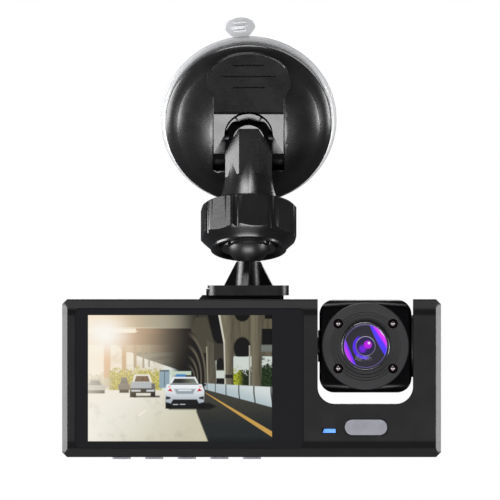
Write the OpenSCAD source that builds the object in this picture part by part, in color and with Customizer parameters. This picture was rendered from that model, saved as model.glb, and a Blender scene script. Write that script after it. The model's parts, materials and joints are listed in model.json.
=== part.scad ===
// Dash camera with a screen, a tilting cabin camera and a lever suction mount.
// Millimetres. Origin: middle of the suction pad's sealing plane on the windshield.
// +X is the driver's right, +Y points forward to the windshield, +Z is up.

/* [Camera body] */
// Width of the camera body
body_w = 108; // [104:1:132]
// Height of the camera body
body_h = 45; // [43:1:54]
// Depth of the camera body, screen side to road side
body_d = 22; // [21:0.5:27]
// Thickness of the case walls
case_wall = 1.6; // [1.2:0.1:2]
// Width of the bevel along the top and bottom of the screen face
face_bevel_w = 2.5; // [1.5:0.1:3]
// Width of the bevel down the two sides of the screen face
side_bevel_w = 1.5; // [1:0.1:3]
// Depth of the bevel round the screen face
face_bevel_d = 1.25; // [0.6:0.05:1.6]
// Bevel round the road face
road_bevel = 2; // [0.5:0.1:2.5]
// Cut across the four corners of the body
corner_cut = 1.4; // [0.6:0.1:1.8]
// Distance of the body's middle to the right of the mount
body_offset = 0.85; // [-2:0.05:3]

/* [Screen] */
// Width of the lit picture
picture_w = 52.5; // [46:0.5:54]
// Height of the lit picture
picture_h = 36; // [30:0.5:36]
// Picture's middle from the left side of the body
picture_inset = 33.6; // [32:0.1:34]
// Thickness of the clear window
window_t = 0.9; // [0.6:0.05:1.1]
// Depth of the window below the face
window_recess = 0.15; // [0.05:0.05:0.3]
// Face left of the window
window_left = 3.65; // [3:0.05:5]
// Face between the window and the cabin camera's slot
window_right = 4; // [3:0.1:6]
// Face above and below the window
window_edge = 2.55; // [2.5:0.05:2.9]
// Thickness of the display panel
panel_t = 1.45; // [1:0.05:1.6]

/* [Cabin camera] */
// Width of the slot that the cabin camera tilts in
slot_w = 27.3; // [26:0.1:30]
// Body right of the slot
slot_right = 7.85; // [7.5:0.05:10]
// Radius at the bottom corners of the slot
slot_r = 4.9; // [2:0.1:6]
// Height of the cabin camera
pod_h = 26.5; // [25.5:0.1:27.5]
// Depth of the cabin camera
pod_d = 20; // [18:0.5:22]
// Radius round the cabin camera's face
pod_r = 4.2; // [3:0.1:4.6]
// Thickness of the cabin camera's shell
pod_wall = 1.5; // [1.2:0.1:1.8]
// Diameter of the cabin camera's face ring
face_ring_d = 25; // [24:0.1:25.4]
// Diameter of the cabin lens barrel
cabin_barrel_d = 13.8; // [12:0.1:14.4]
// Diameter of the cabin camera's left trunnion
left_trunnion_d = 5; // [4:0.1:6]
// Diameter of the cabin camera's right trunnion
right_trunnion_d = 6; // [5:0.1:7]

/* [Road camera] */
// Diameter of the raised ring round the road lens
road_bump_d = 26; // [24:0.5:28]
// Diameter of the road lens barrel
road_barrel_d = 18; // [16:0.5:19]
// How far the road lens stands out of the road face
road_lens_reach = 5; // [3:0.5:7]

/* [Buttons and sockets] */
// Width of a menu button
menu_w = 5.2; // [4.5:0.1:6]
// Distance between menu buttons
menu_pitch = 9.3; // [8:0.1:10]
// How far a menu button stands out
menu_proud = 0.6; // [0.4:0.1:1]
// How far a button travels
button_travel = 0.4; // [0.2:0.05:0.5]
// Gap round a button in its hole
button_gap = 0.2; // [0.1:0.05:0.3]
// Width of the power button
power_w = 12; // [9:0.5:14]
// Height of the power button
power_h = 4.4; // [3.4:0.1:5]
// Width of the power socket's shell
usb_w = 9.2; // [8:0.1:10]
// Thickness of the power socket's shell
usb_t = 3.3; // [3:0.1:3.4]
// Bore of the video jack
jack_bore_d = 2.5; // [2:0.1:2.8]

/* [Suction mount] */
// Rake of the windshield from upright
glass_rake = 19; // [10:1:26]
// Diameter of the suction pad
pad_d = 50.3; // [46:0.1:60]
// Diameter of the suction housing
housing_d = 47.6; // [44:0.1:57]
// Height of the housing's dome above the glass
dome_n = 11.5; // [10.5:0.1:12]
// Radius of the hub that the arm grows from
hub_r = 6.65; // [6:0.05:7]
// Diameter of the pull stem
stem_d = 5.6; // [5:0.1:6]
// Diameter of the lever's pin
pin_d = 3; // [2.5:0.1:3.2]
// Turn of the lever from locked to open
lever_turn = 70; // [50:1:70]
// How far the lever lifts the pad
cam_lift = 2.5; // [1.5:0.1:2.5]
// Width across the lever's fork
fork_w = 19.95; // [19:0.05:20.4]
// Width of the lever's paddle
paddle_w = 24; // [21:0.5:28]

/* [Arm and ball] */
// Lean of the arm from upright
arm_lean = 18; // [10:1:24]
// Length of the arm from its root to the ball's centre
arm_len = 32.83; // [31:0.1:38]
// Diameter of the ball
ball_d = 12.6; // [12:0.1:12.8]
// Width of the lock nut across its flats
nut_w = 26.6; // [25:0.1:28]
// Drop from the ball's centre to the top of the foot
foot_drop = 12.23; // [12:0.1:16]

/* [Foot and rail] */
// Length of the foot along the rail
foot_len = 23.2; // [20:0.1:28]
// Depth of the foot across the rail
foot_w = 17; // [16:0.1:20]
// Height of the foot
foot_h = 2.86; // [2.8:0.02:3.6]
// Air between the foot and the top of the body
foot_lift = 1.1; // [0.8:0.05:1.6]
// Width of the rail's head
rail_w = 13.4; // [11:0.1:13.6]
// Gap between the foot and the rail
rail_gap = 0.15; // [0.1:0.05:0.25]

/* [Hidden] */
$fn = 64;
over = 1;      // how far a cutter runs past what it cuts
fit = 0.05;    // running clearance of a turning pin or ball, on the radius

// Body: half sizes, and the inside of its walls
hw = body_w / 2;
hd = body_d / 2;
hh = body_h / 2;
in_x = hw - case_wall;
in_y = hd - case_wall;
in_z = hh - case_wall;

// Mount: where the arm grows, and the ball's centre
arm_root_n = 13;
ball_centre = -arm_root_n * [0, cos(glass_rake), sin(glass_rake)]
    - arm_len * [0, sin(arm_lean), cos(arm_lean)];
body_centre = ball_centre + [body_offset, 0, -foot_drop - foot_h - foot_lift - hh];

// Screen window and panel
window_x0 = window_left - hw;
window_x1 = hw - slot_right - slot_w - window_right;
window_h = body_h - 2 * window_edge;
window_back = -hd + window_recess + window_t;
picture_x = picture_inset - hw;
panel_w = picture_w + 3;
panel_h = picture_h + 2.6;
panel_y = -in_y + fit;                 // front of the panel
tray_t = 0.5;
standoff_h = 2.2;
board_t = 1.2;
board_front = panel_y + panel_t + tray_t + standoff_h;
board_back = board_front + board_t;
board_z = in_z - 1.4;
socket_lift = 1.8;                     // middle of the sockets above the board's back
// board screws go into the tray's standoffs, clear of the sockets and the switches
board_screw_spots = [for (i = [-1, 1]) for (z = [-12.5, 10]) [picture_x + 17.1 * i, z]];

// Cabin camera and its slot
pod_gap = 0.55;
pod_w = slot_w - 2 * pod_gap;
pod_x = hw - slot_right - slot_w / 2;
pod_z = hh - 0.1 - pod_h / 2;
pod_lead = 3;                          // radius of the cabin camera's long edges
ring_proud = 0.3;
pod_sweep = max(norm([pod_d / 2 + ring_proud, face_ring_d / 2]),
    norm([pod_d / 2 - pod_lead, pod_h / 2 - pod_lead]) + pod_lead);
slot_floor = pod_z - pod_sweep - 0.36;
slot_x0 = pod_x - slot_w / 2;
slot_x1 = pod_x + slot_w / 2;
pivot_disc_t = 0.45;
led_spots = [for (i = [-1, 1]) for (j = [-1, 1]) [i * 7.8, j * (pod_h / 2 - 6.85)]];
pod_screw_spots = [for (i = [-1, 1]) for (j = [-1, 1]) [i * (pod_w / 2 - 3.5), j * (pod_h / 2 - 3.5)]];
infrared_board_r = min(norm(pod_screw_spots[0]) - 2.7, pod_h / 2 - pod_wall - 0.5);

// Case screws, in the corners
screw_r = 1;
post = 5.4;
case_screw_spots = [for (i = [-1, 1]) for (j = [-1, 1])
    [i * (in_x - post / 2 + 0.2), j * (in_z - post / 2 + 0.2)]];

// Buttons, switches and sockets along the edges
menu_d = 3.2;
menu_y = -2;
menu_x0 = picture_x - 16.7;
menu_flange = 0.6;
flange_t = 0.8;
switch_tip = -in_z + flange_t + 0.1 + button_travel + fit;   // plunger's end, above the menu button
power_x = pod_x + 0.1;
power_z = -hh + 8.5;
power_proud = 0.3;
light_x = pod_x - 10.4;
light_z = -hh + 7.5;
usb_x = 23 - hw;
jack_x = 11 - hw;
edge_y = board_back + socket_lift;
card_t = 0.8;
card_w = 11;
card_len = 15;
card_y = board_back + 0.4;             // front of the card

// Road camera: barrel's radius, and the foremost plane of its lens
road_r = road_barrel_d / 2;
road_tip = hd + road_lens_reach;

// Inner pieces behind the board
battery_size = [32, 5, 16];
battery_at = [24 - hw, 3.5, 10.5];
tab_w = 1.3;                           // width of the battery's tab board
speaker_r = 7.5;
speaker_x = 20 - hw;
speaker_z = -9;

// Suction mount: radii and heights above the glass
pad_r = pad_d / 2;
housing_r = housing_d / 2;
crease_r = housing_r - 3.4;
pin_n = 16;
stem_r = stem_d / 2;
pin_r = pin_d / 2;
cam_floor = 6;
cam_r = pin_n - cam_floor;
cam_play = 0.33;                       // the spiral's lowest point runs past the pin's foot by this much
cheek_in = hub_r + 0.275;
cheek_out = fork_w / 2;
boss_r = 4.4;
paddle_v = [8.5, 22.3];                // paddle's outer face, up the glass
paddle_n = [19, 8.2];                  // and away from it
paddle_slope = atan2(paddle_n[0] - paddle_n[1], paddle_v[1] - paddle_v[0]);
ridge_pitch = 3.35;                    // grip ridges, and the middle one's place on the paddle
ridge_at = [17.2, paddle_n[0] - (17.2 - paddle_v[0]) * tan(paddle_slope) - 0.02];

// Ball, collet and nut
ball_r = ball_d / 2;
cup_r = ball_r + 0.06;                 // ball socket
seat_r = cup_r + 0.64;                 // outside of the ball seat
collet_end = -2;
thread_root = seat_r + 1.6;
thread_crest = thread_root + 0.4;
thread_s = [for (i = [0:4]) 2.2 + 1.5 * i];
thread_w = 0.7;
nut_s = [-2.2, 10.5];
nut_bore = thread_crest + 0.2;
nut_round = nut_w / 2 + 0.5;
nut_turned = 7.3;                      // the nut's front face looks this far to the right
flare_s = 22.6;
flare_r = thread_crest - 0.05;
arm_top = 1.47;                        // arm past its root
spigot_r = 2;
neck_r = 3.2;
neck_top = 5.45;                       // below the ball's centre

// Foot and rail, above the body's top
rail_len = 24.2;
rail_t = 0.9;                          // thickness of the rail's head
rail_lip = 2;                          // how far its head stands out over its web
rail_x1 = 10;                          // its right end
peg_r = 1.6;                           // pegs that hold it in the body's top
peg_x = [-8, 4];
lip_h = 0.8;
foot_r = 3.5;
foot_x = [-foot_len / 2 - 0.1, foot_len / 2 - 0.1];
channel_end = rail_x1 + 0.4;
fin_t = 1.6;
fin_reach = 7;
fins_turned = 8;                       // the four fins stand this far round from the foot

// ---------- helpers ----------
module in_cup_frame() rotate([90 + glass_rake, 0, 0]) children();
module in_arm_frame() translate(ball_centre) rotate([-arm_lean, 0, 0]) children();
module in_stud_frame() translate(ball_centre) children();
module in_body_frame() translate(body_centre) children();
module in_foot_frame() translate(ball_centre + [0, 0, -foot_drop - foot_h - foot_lift]) children();
module in_pod_frame() in_body_frame() translate([pod_x, 0, pod_z]) children();

module along_x(x0, x1) translate([x0, 0, 0]) rotate([90, 0, 90]) linear_extrude(x1 - x0) children();
module along_y(y0, y1) translate([0, y1, 0]) rotate([90, 0, 0]) linear_extrude(y1 - y0) children();
module along_z(z0, z1) translate([0, 0, z0]) linear_extrude(z1 - z0) children();

module rounded_rect(w, h, r) {
    square([w - 2 * r, h], center = true);
    square([w, h - 2 * r], center = true);
    for (i = [-1, 1]) for (j = [-1, 1]) translate([i * (w / 2 - r), j * (h / 2 - r)]) circle(r);
}

module rod_x(r, x0, x1) along_x(x0, x1) circle(r);
module rod_y(r, y0, y1) along_y(y0, y1) circle(r);
module rod_z(r, z0, z1) along_z(z0, z1) circle(r);

// height of the dome at radius r
function dome_at(r) = 3.2 + (dome_n - 3.2) * sqrt(max(0, 1 - pow(r / (crease_r + 2.2), 2)));

// radius of the arm's flare at height s above the ball's centre
function flare_at(s) = let (k = flare_s - nut_s[1], d = flare_r - hub_r, c = (k * k + d * d) / (2 * d))
    hub_r + c - sqrt(c * c - pow(flare_s - s, 2));

// half section of a domed lens of radius r, standing on height z
function lens_cap(r, z, rise) = let (ball = (r * r + rise * rise) / (2 * rise), a = asin(r / ball))
    concat([[0, z]],
        [for (i = [0:8]) let (b = a * (1 - i / 8)) [ball * sin(b), z + rise - ball + ball * cos(b)]]);

// ---------- suction mount ----------
module suction_pad() color([0.86, 0.87, 0.88]) in_cup_frame() {
    rotate_extrude() polygon([[0, 2.5], [6, 2.5], [9.5, 1.8], [13.5, 0], [pad_r, 0], [pad_r, 0.9],
        [pad_r - 0.5, 1.15], [14, 1.7], [10, 2.7], [7, 4.1], [0, 4.1]]);
    rotate([0, 0, 5]) difference() {
        along_z(0.05, 0.95) {
            translate([0, pad_r + 0.4]) square([4.4, 3.6], center = true);
            translate([0, pad_r + 3.95]) rounded_rect(8.7, 5.9, 2.8);
        }
        for (i = [-1:1]) translate([0, pad_r + 4.2 + 1.2 * i, 0.95]) cube([5.6, 0.35, 0.3], center = true);
    }
}

module housing_blank() {
    rotate_extrude() polygon(concat(
        [[0, 5.7], [6.5, 5.7], [7.1, 4.4], [14, 2.15], [housing_r - 2, 1.9], [housing_r - 0.6, 1.25],
        [housing_r, 1.7], [housing_r, 4.6], [housing_r - 0.3, 5], [crease_r + 0.1, 6.5]],
        [for (i = [0:10]) let (r = crease_r * (1 - i / 10)) [r, dome_at(r)]]));
    rod_z(hub_r, dome_n - 3, 15.5);
    rod_z(boss_r, 12, 18.8);
}

// the arm's outside, from the nut's top to its root, grown by extra
module arm_blank(extra = 0) {
    rotate_extrude() polygon(concat([[0, nut_s[1] - 1], [flare_r + extra, nut_s[1] - 1]],
        [for (i = [0:8]) let (s = nut_s[1] + (flare_s - nut_s[1]) * i / 8) [flare_at(s) + extra, s]],
        [[0, flare_s]]));
    intersection() {
        along_z(flare_s - 4, arm_len + arm_top)
            rotate(22.5) circle((hub_r + extra) / cos(22.5), $fn = 8);
        along_x(-hub_r - over, hub_r + over) polygon([[-9, 0], [9, 0], [9, arm_len - 2.6],
            [4.9, arm_len + arm_top], [-4.9, arm_len + arm_top], [-9, arm_len - 2.6]]);
    }
}

module arm() {
    arm_blank();
    // raised strip on the right half of the front face
    intersection() {
        arm_blank(0.35);
        translate([0, -hub_r - 5, nut_s[1] + 0.8]) cube([3, hub_r + 5, arm_len - nut_s[1] - 6]);
    }
    // collet with its thread
    rotate_extrude() polygon([[0, collet_end], [thread_root - 0.9, collet_end], [thread_root - 0.2, 1.5],
        [thread_root, 1.9], [thread_root, nut_s[1]], [0, nut_s[1]]]);
    for (s = thread_s) rod_z(thread_crest, s, s + thread_w);
}

module cup_housing() color([0.16, 0.16, 0.17]) difference() {
    union() {
        in_cup_frame() housing_blank();
        in_arm_frame() arm();
    }
    in_cup_frame() {
        // moulded hollow under the rim
        difference() {
            rotate_extrude() polygon([[12.6, 1], [crease_r + 0.6, 1], [crease_r + 0.6, 4.6],
                [crease_r - 3.4, 6.3], [12.6, 7.7]]);
            cube([24.4, 26.2, 20], center = true);
            for (i = [1:3]) rotate([0, 0, 60 * i]) cube([60, 1.4, 20], center = true);
        }
        // cam pockets, stem bore and the slot that the pin slides in
        for (i = [-1, 1]) translate([i * (cheek_in + cheek_out) / 2, -0.9, cam_floor + 5])
            cube([cheek_out - cheek_in + 0.6, 23.2, 10], center = true);
        rod_z(stem_r + 0.2, 0, 18);
        for (n = [pin_n - cam_lift, pin_n]) translate([0, 0, n]) rod_x(pin_r + 0.1, -hub_r - 3, hub_r + 3);
        translate([0, 0, pin_n - cam_lift / 2])
            cube([2 * hub_r + 6, 2 * pin_r + 0.2, cam_lift], center = true);
    }
    in_arm_frame() {
        sphere(cup_r);
        rod_z(seat_r + fit, 1, 5.1);
        for (a = [45, 135]) rotate([0, 0, a]) translate([0, 0, 2.5])
            cube([2 * thread_crest + 2, 1.2, 10], center = true);
    }
}

module pad_stem() color([0.75, 0.76, 0.78]) in_cup_frame() difference() {
    union() {
        rod_z(6, 4.1, 5.3);
        rod_z(stem_r, 5.2, 17.8);
    }
    translate([0, 0, pin_n]) rod_x(pin_r + 0.03, -stem_r - over, stem_r + over);
}

module lever_pin() color([0.7, 0.7, 0.72]) in_cup_frame() translate([0, 0, pin_n])
    rod_x(pin_r, -cheek_out + 0.25, cheek_out - 0.25);

// the lever seen from the side: cam, locking flat, underside that follows the dome, paddle
function cam_points() = [for (i = [0:10]) let (a = 270 - lever_turn * (1 - i / 10),
    r = cam_r - cam_play - cam_lift * (1 - i / 10)) [r * cos(a), pin_n + r * sin(a)]];
lever_side = concat(cam_points(), [[3, cam_floor + 0.1], [7, 8.4]],
    [for (v = [9.6, 12, 15.5, 18, crease_r]) [v, dome_at(v) + 0.5]],
    [[paddle_v[1], 6.35], [paddle_v[1] + 0.3, 7.3], [paddle_v[1], paddle_n[1]], [paddle_v[0], paddle_n[0]],
    [paddle_v[0] - 0.7, 19.2], [-4, 19.2], [-6.4, 17.4]]);

module lever_plan(inset = 0) {
    polygon([for (a = [0:7.5:352.5]) [(paddle_w / 2 - inset) * cos(a), 15.5 + (6.8 - inset) * sin(a)]]);
    translate([-cheek_out + inset, -11]) square([2 * (cheek_out - inset), 23.5]);
}

module cam_lever() color([0.1, 0.1, 0.11]) in_cup_frame() {
    difference() {
        intersection() {
            along_x(-paddle_w / 2, paddle_w / 2) polygon(lever_side);
            along_z(5, 20) lever_plan();
        }
        // fork round the arm
        along_z(0, 30) {
            translate([0, 1.6]) circle(cheek_in);
            translate([-cheek_in, -15]) square([2 * cheek_in, 16.6]);
        }
        // the web between the cheeks stays above the dome
        translate([-cheek_in, 0, 0]) cube([2 * cheek_in, 9.7, dome_at(0) + 0.5]);
        translate([0, 0, pin_n]) rod_x(pin_r + fit, -paddle_w, paddle_w);
        // moulded hollow under the paddle
        intersection() {
            along_x(-paddle_w / 2, paddle_w / 2) polygon([[10.8, 5], [23, 5], [20.6, 7.6], [10.8, 15.2]]);
            along_z(5, 20) lever_plan(1.5);
        }
    }
    // grip ridges across the paddle
    for (i = [-1:1]) translate([0, ridge_at[0], ridge_at[1]]) rotate([-paddle_slope, 0, 0])
        translate([0, ridge_pitch * i, 0]) cube([i == 0 ? 15.4 : 9.1, 0.5, 0.7], center = true);
}

// ---------- ball joint ----------
module lock_nut() color([0.13, 0.13, 0.14]) in_arm_frame() difference() {
    intersection() {
        along_z(nut_s[0], nut_s[1]) rotate(nut_turned + 22.5) difference() {
            circle(nut_w / 2 / cos(22.5), $fn = 8);
            for (i = [0:7]) rotate(45 * i) translate([nut_round + 0.2, 0]) circle(0.8);
        }
        rotate_extrude() polygon([[0, nut_s[0]], [nut_round - 3, nut_s[0]], [nut_round - 3, -1.6],
            [nut_round, 1.3], [nut_round, nut_s[1] - 0.6], [nut_round - 0.6, nut_s[1]], [0, nut_s[1]]]);
    }
    // mouth, waist that closes the collet, and threaded bore
    rotate_extrude() difference() {
        polygon([[0, nut_s[0] - over], [thread_root + 1.3, nut_s[0] - over], [thread_root + 1.3, nut_s[0]],
            [thread_root - 0.3, -0.6], [thread_root - 0.3, 0], [nut_bore, 1.6], [nut_bore, nut_s[1] + over],
            [0, nut_s[1] + over]]);
        for (i = [0:3]) translate([thread_root + 0.12, thread_s[i] + thread_w + 0.15]) square([2, 0.5]);
    }
}

module ball_seat() color([0.9, 0.9, 0.86]) in_arm_frame() difference() {
    rod_z(seat_r, 1.05, 5);
    sphere(cup_r);
}

module stud_ball() color([0.2, 0.2, 0.21]) in_stud_frame() difference() {
    sphere(ball_r);
    translate([0, 0, -neck_top + 0.05 - 5]) cube([20, 20, 10], center = true);
    rod_z(spigot_r + 0.03, -ball_r - over, -0.4);
}

module stud_foot() color([0.14, 0.14, 0.15]) {
    in_stud_frame() {
        rod_z(spigot_r, -neck_top - 1, -0.6);
        rotate_extrude() polygon([[0, -neck_top], [neck_r, -neck_top], [neck_r + 0.6, -foot_drop - 0.1],
            [0, -foot_drop - 0.1]]);
        for (a = [0, 90]) rotate([0, 0, a - fins_turned]) along_y(-fin_t / 2, fin_t / 2)
            polygon([[-neck_r - 0.2, -neck_top], [neck_r + 0.2, -neck_top],
                [fin_reach, -foot_drop - 0.1], [-fin_reach, -foot_drop - 0.1]]);
    }
    in_foot_frame() difference() {
        translate([(foot_x[0] + foot_x[1]) / 2, 0, 0])
            along_z(foot_lift, foot_lift + foot_h) rounded_rect(foot_len, foot_w, foot_r);
        // rail channel: wide above the lips, narrow between them, open at the left
        translate([foot_x[0] - over, -rail_w / 2 - rail_gap, foot_lift + lip_h])
            cube([channel_end - foot_x[0] + over, rail_w + 2 * rail_gap, rail_t + 2 * rail_gap]);
        translate([foot_x[0] - over, -rail_w / 2 + rail_lip - rail_gap, 0])
            cube([channel_end - foot_x[0] + over, rail_w - 2 * rail_lip + 2 * rail_gap,
                foot_lift + lip_h + over]);
    }
}

// T-shaped rail on the top of the body, with its catch block at the left
module mount_rail() color([0.12, 0.12, 0.13]) in_foot_frame() {
    rail_x0 = rail_x1 - rail_len;
    along_x(rail_x0 + 2.1, rail_x1) {
        translate([-rail_w / 2 + rail_lip, 0]) square([rail_w - 2 * rail_lip, foot_lift + lip_h + rail_t]);
        translate([-rail_w / 2, foot_lift + lip_h + rail_gap]) square([rail_w, rail_t]);
    }
    along_y(-rail_w / 2 + rail_lip, rail_w / 2 - rail_lip)
        polygon([[rail_x0, 0], [rail_x0 + 3, 0], [rail_x0 + 3, 1.2], [rail_x0 + 1, 1.2]]);
    for (x = peg_x) translate([x, 0, 0]) rod_z(peg_r, -case_wall, 1);
}

// ---------- camera case ----------
module corner_cut_rect(w, h, c) polygon([[-w / 2 + c, -h / 2], [w / 2 - c, -h / 2], [w / 2, -h / 2 + c],
    [w / 2, h / 2 - c], [w / 2 - c, h / 2], [-w / 2 + c, h / 2], [-w / 2, h / 2 - c], [-w / 2, -h / 2 + c]]);

// half of the body's bevelled outline, depth first: a is the half size across
function bevelled(a, w) = [[-hd, a - w], [-hd + face_bevel_d, a],
    [hd - road_bevel, a], [hd, a - road_bevel]];
function mirrored(pts) = concat(pts, [for (i = [len(pts) - 1:-1:0]) [pts[i][0], -pts[i][1]]]);
function swapped(pts) = [for (p = pts) [p[1], p[0]]];

module body_blank(y0, y1) intersection() {
    along_y(y0, y1) corner_cut_rect(body_w, body_h, corner_cut);
    along_x(-hw, hw) polygon(mirrored(bevelled(hh, face_bevel_w)));
    along_z(-hh, hh) polygon(swapped(mirrored(bevelled(hw, side_bevel_w))));
}

module slot_outline(grow = 0) translate([pod_x, 0]) {
    w = slot_w + 2 * grow;
    r = slot_r + grow;
    translate([-w / 2, slot_floor + slot_r]) square([w, hh + 2 - slot_floor - slot_r]);
    translate([-w / 2 + r, slot_floor - grow]) square([w - 2 * r, hh]);
    for (i = [-1, 1]) translate([i * (w / 2 - r), slot_floor + slot_r]) circle(r);
}

module inside_outline() difference() {
    corner_cut_rect(2 * in_x, 2 * in_z, corner_cut);
    slot_outline(case_wall);
}

module case_posts() for (p = case_screw_spots) translate(p) square(post, center = true);

// holes for the rail's pegs and the cabin camera's trunnions, shared by both halves
module case_bores() {
    for (x = peg_x) translate([x - body_offset, 0, 0]) rod_z(peg_r + fit, in_z - over, hh + over);
    translate([0, 0, pod_z]) {
        rod_x(left_trunnion_d / 2 + fit, slot_x0 - case_wall - 0.2, slot_x0 + over);
        rod_x(right_trunnion_d / 2 + fit, slot_x1 - over, slot_x1 + case_wall + 0.2);
    }
}

module front_bezel() color([0.2, 0.2, 0.21]) in_body_frame() difference() {
    union() {
        difference() {
            body_blank(-hd, 0);
            along_y(-in_y, over) inside_outline();
        }
        intersection() {
            along_y(board_back + 0.4, 0) case_posts();
            body_blank(-hd, 0);
        }
    }
    along_y(-hd - over, over) slot_outline();
    // window recess and the opening behind it
    translate([(window_x0 + window_x1) / 2, 0, 0]) along_y(-hd - over, window_back)
        rounded_rect(window_x1 - window_x0 + 0.1, window_h + 0.1, 1.4);
    translate([picture_x, 0, 0]) along_y(-hd, -in_y + over)
        square([picture_w + 1, picture_h + 1], center = true);
    // power button, status light, menu buttons
    translate([power_x, 0, power_z]) along_y(-hd - over, -in_y + over)
        rounded_rect(power_w + 2 * button_gap, power_h + 2 * button_gap, power_h / 2);
    translate([light_x, 0, light_z]) along_y(-hd - over, -in_y + over) offset(delta = 0.08) light_outline();
    for (i = [0:4]) translate([menu_x0 + menu_pitch * i, menu_y, -hh])
        cube([menu_w + 2 * button_gap, menu_d + 2 * button_gap, 4 * case_wall], center = true);
    // power socket, video jack, card slot, microphone
    translate([usb_x, edge_y, hh]) cube([usb_w + 0.4, usb_t + 0.4, 2 * case_wall + 0.8], center = true);
    translate([jack_x, edge_y, 0]) rod_z(2.1, in_z - over, hh + over);
    translate([-hw, card_y + card_t / 2, 0])
        cube([2 * case_wall + 0.8, card_t + 1.2, card_w + 1.2], center = true);
    translate([pod_x + 11.5, board_back + 0.8, 0]) rod_z(0.5, -hh - over, -in_z + over);
    for (p = case_screw_spots) translate([p[0], 0, p[1]]) rod_y(screw_r, board_back - 1, over);
    case_bores();
}

module rear_cover() color([0.17, 0.17, 0.18]) in_body_frame() difference() {
    union() {
        difference() {
            body_blank(0, hd);
            along_y(-over, in_y) inside_outline();
        }
        intersection() {
            along_y(0, hd) case_posts();
            body_blank(0, hd);
        }
        // raised ring of the road camera, and the tube that guides its barrel
        rod_y(road_bump_d / 2, in_y - 0.4, road_tip - 2);
        rod_y(road_r + 1.6, in_y - 4, hd);
        // ribs that press on the battery
        for (i = [-1, 1]) translate([battery_at[0] + 11 * i, 0, battery_at[2]])
            along_y(battery_at[1] + battery_size[1] / 2 + fit, in_y + fit) square([1.2, 12], center = true);
    }
    along_y(-over, hd + over) slot_outline();
    rod_y(road_r + 0.1, 0, road_tip + over);
    rod_y(road_bump_d / 2 - 1.2, road_tip - 3.4, road_tip + over);
    // speaker grille and cooling slots
    for (i = [-2:2]) translate([speaker_x + 2.4 * i, hd, speaker_z])
        cube([1, 2 * case_wall + 1, 2 * sqrt(pow(speaker_r - 1, 2) - pow(2.4 * i, 2)) - 1], center = true);
    for (i = [0:5]) translate([16 - hw + 4 * i, hd / 2 - 0.5, 0])
        along_z(in_z - over, hh + over) square([2, 5], center = true);
    // screw holes with counterbores
    for (p = case_screw_spots) translate([p[0], 0, p[1]]) {
        rod_y(screw_r + 0.1, -over, hd + over);
        rod_y(2.1, in_y - 1, hd + over);
    }
    case_bores();
}

module case_screws() color([0.3, 0.3, 0.31]) in_body_frame() for (p = case_screw_spots)
    translate([p[0], 0, p[1]]) difference() {
        union() {
            rod_y(screw_r - 0.05, board_back + 0.6, in_y - 0.6);
            rod_y(1.9, in_y - 1, in_y + 0.4);
        }
        along_y(in_y - 0.4, hd) {
            square([2.2, 0.5], center = true);
            square([0.5, 2.2], center = true);
        }
    }

// ---------- screen and board ----------
module screen_window() color([0.06, 0.06, 0.07]) in_body_frame()
    translate([(window_x0 + window_x1) / 2, 0, 0]) along_y(window_back - window_t, window_back)
        rounded_rect(window_x1 - window_x0, window_h, 1.35);

module screen_panel() color([0.3, 0.4, 0.5]) in_body_frame() translate([picture_x, 0, 0])
    along_y(panel_y, panel_y + panel_t) square([panel_w, panel_h], center = true);

module screen_tray() color([0.75, 0.76, 0.78]) in_body_frame() translate([picture_x, 0, 0]) {
    along_y(panel_y + panel_t, panel_y + panel_t + tray_t) difference() {
        square([panel_w + 0.8, panel_h + 0.8], center = true);
        for (i = [-1:1]) translate([16 * i, -2]) rounded_rect(12, 14, 2);
    }
    for (p = board_screw_spots) translate([p[0] - picture_x, 0, p[1]])
        rod_y(1.6, panel_y + panel_t, board_front);
}

// flat lead from the panel's lower edge, round the tray, to its connector on the board
module screen_ribbon() color([0.85, 0.6, 0.2]) in_body_frame() {
    front = panel_y + 0.6;
    low = -in_z + 0.75;
    back = board_front - 0.6;
    top = -panel_h / 2;
    t = 0.2;
    translate([picture_x + 12, 0, 0]) {
        along_x(-6, 6) polygon([[front, top], [front, low], [back, low], [back, -board_z + 3.5],
            [back - t, -board_z + 3.5], [back - t, low + t], [front + t, low + t], [front + t, top]]);
        translate([-7, back - t - 0.1, -board_z + 2]) cube([14, board_front - back + t + 0.1, 3]);
    }
}

module main_board() color([0.05, 0.3, 0.16]) in_body_frame() difference() {
    along_y(board_front, board_back) {
        translate([-in_x + 0.9, -board_z]) square([slot_x0 - case_wall - 0.85 + in_x - 0.9, 2 * board_z]);
        translate([-in_x + 0.9, -board_z]) square([2 * in_x - 1.8, slot_floor - case_wall - 1 + board_z]);
    }
    for (p = board_screw_spots) translate([p[0], 0, p[1]]) rod_y(1.1, board_front - over, board_back + over);
}

module board_screws() color([0.8, 0.8, 0.82]) in_body_frame() for (p = board_screw_spots)
    translate([p[0], 0, p[1]]) difference() {
        union() {
            rod_y(0.95, board_front, board_back + 0.1);
            rod_y(1.9, board_back, board_back + 0.9);
        }
        along_y(board_back + 0.5, board_back + 2) square([2.4, 0.5], center = true);
    }

module board_chips() color([0.08, 0.08, 0.09]) in_body_frame() {
    // each chip's place from the picture's middle and up, its size and its height
    for (c = [[2.9, 9, 11, 1.2], [10.9, -11.5, 7, 1], [3.9, -3, 7, 1], [32.4, -14, 6, 1.1]])
        translate([picture_x + c[0], board_back + c[3] / 2, c[1]])
            cube([c[2], c[3], c[2] * 0.9], center = true);
    for (i = [0:6]) translate([picture_x - 5.6 + 3.2 * i, board_back + 0.4, -7.3])
        cube([1.6, 0.8, 0.9], center = true);
    for (i = [0:2]) translate([pod_x + 4 * i, 0, -board_z + 4.5]) rod_y(1.7, board_back, board_back + 2.4);
}

module battery() color([0.5, 0.52, 0.58]) in_body_frame() translate(battery_at) {
    along_y(-battery_size[1] / 2, battery_size[1] / 2) rounded_rect(battery_size[0], battery_size[2], 2);
    translate([(battery_size[0] + tab_w) / 2 - fit, 0, 0]) cube([tab_w, 3.6, 9], center = true);
}

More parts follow.
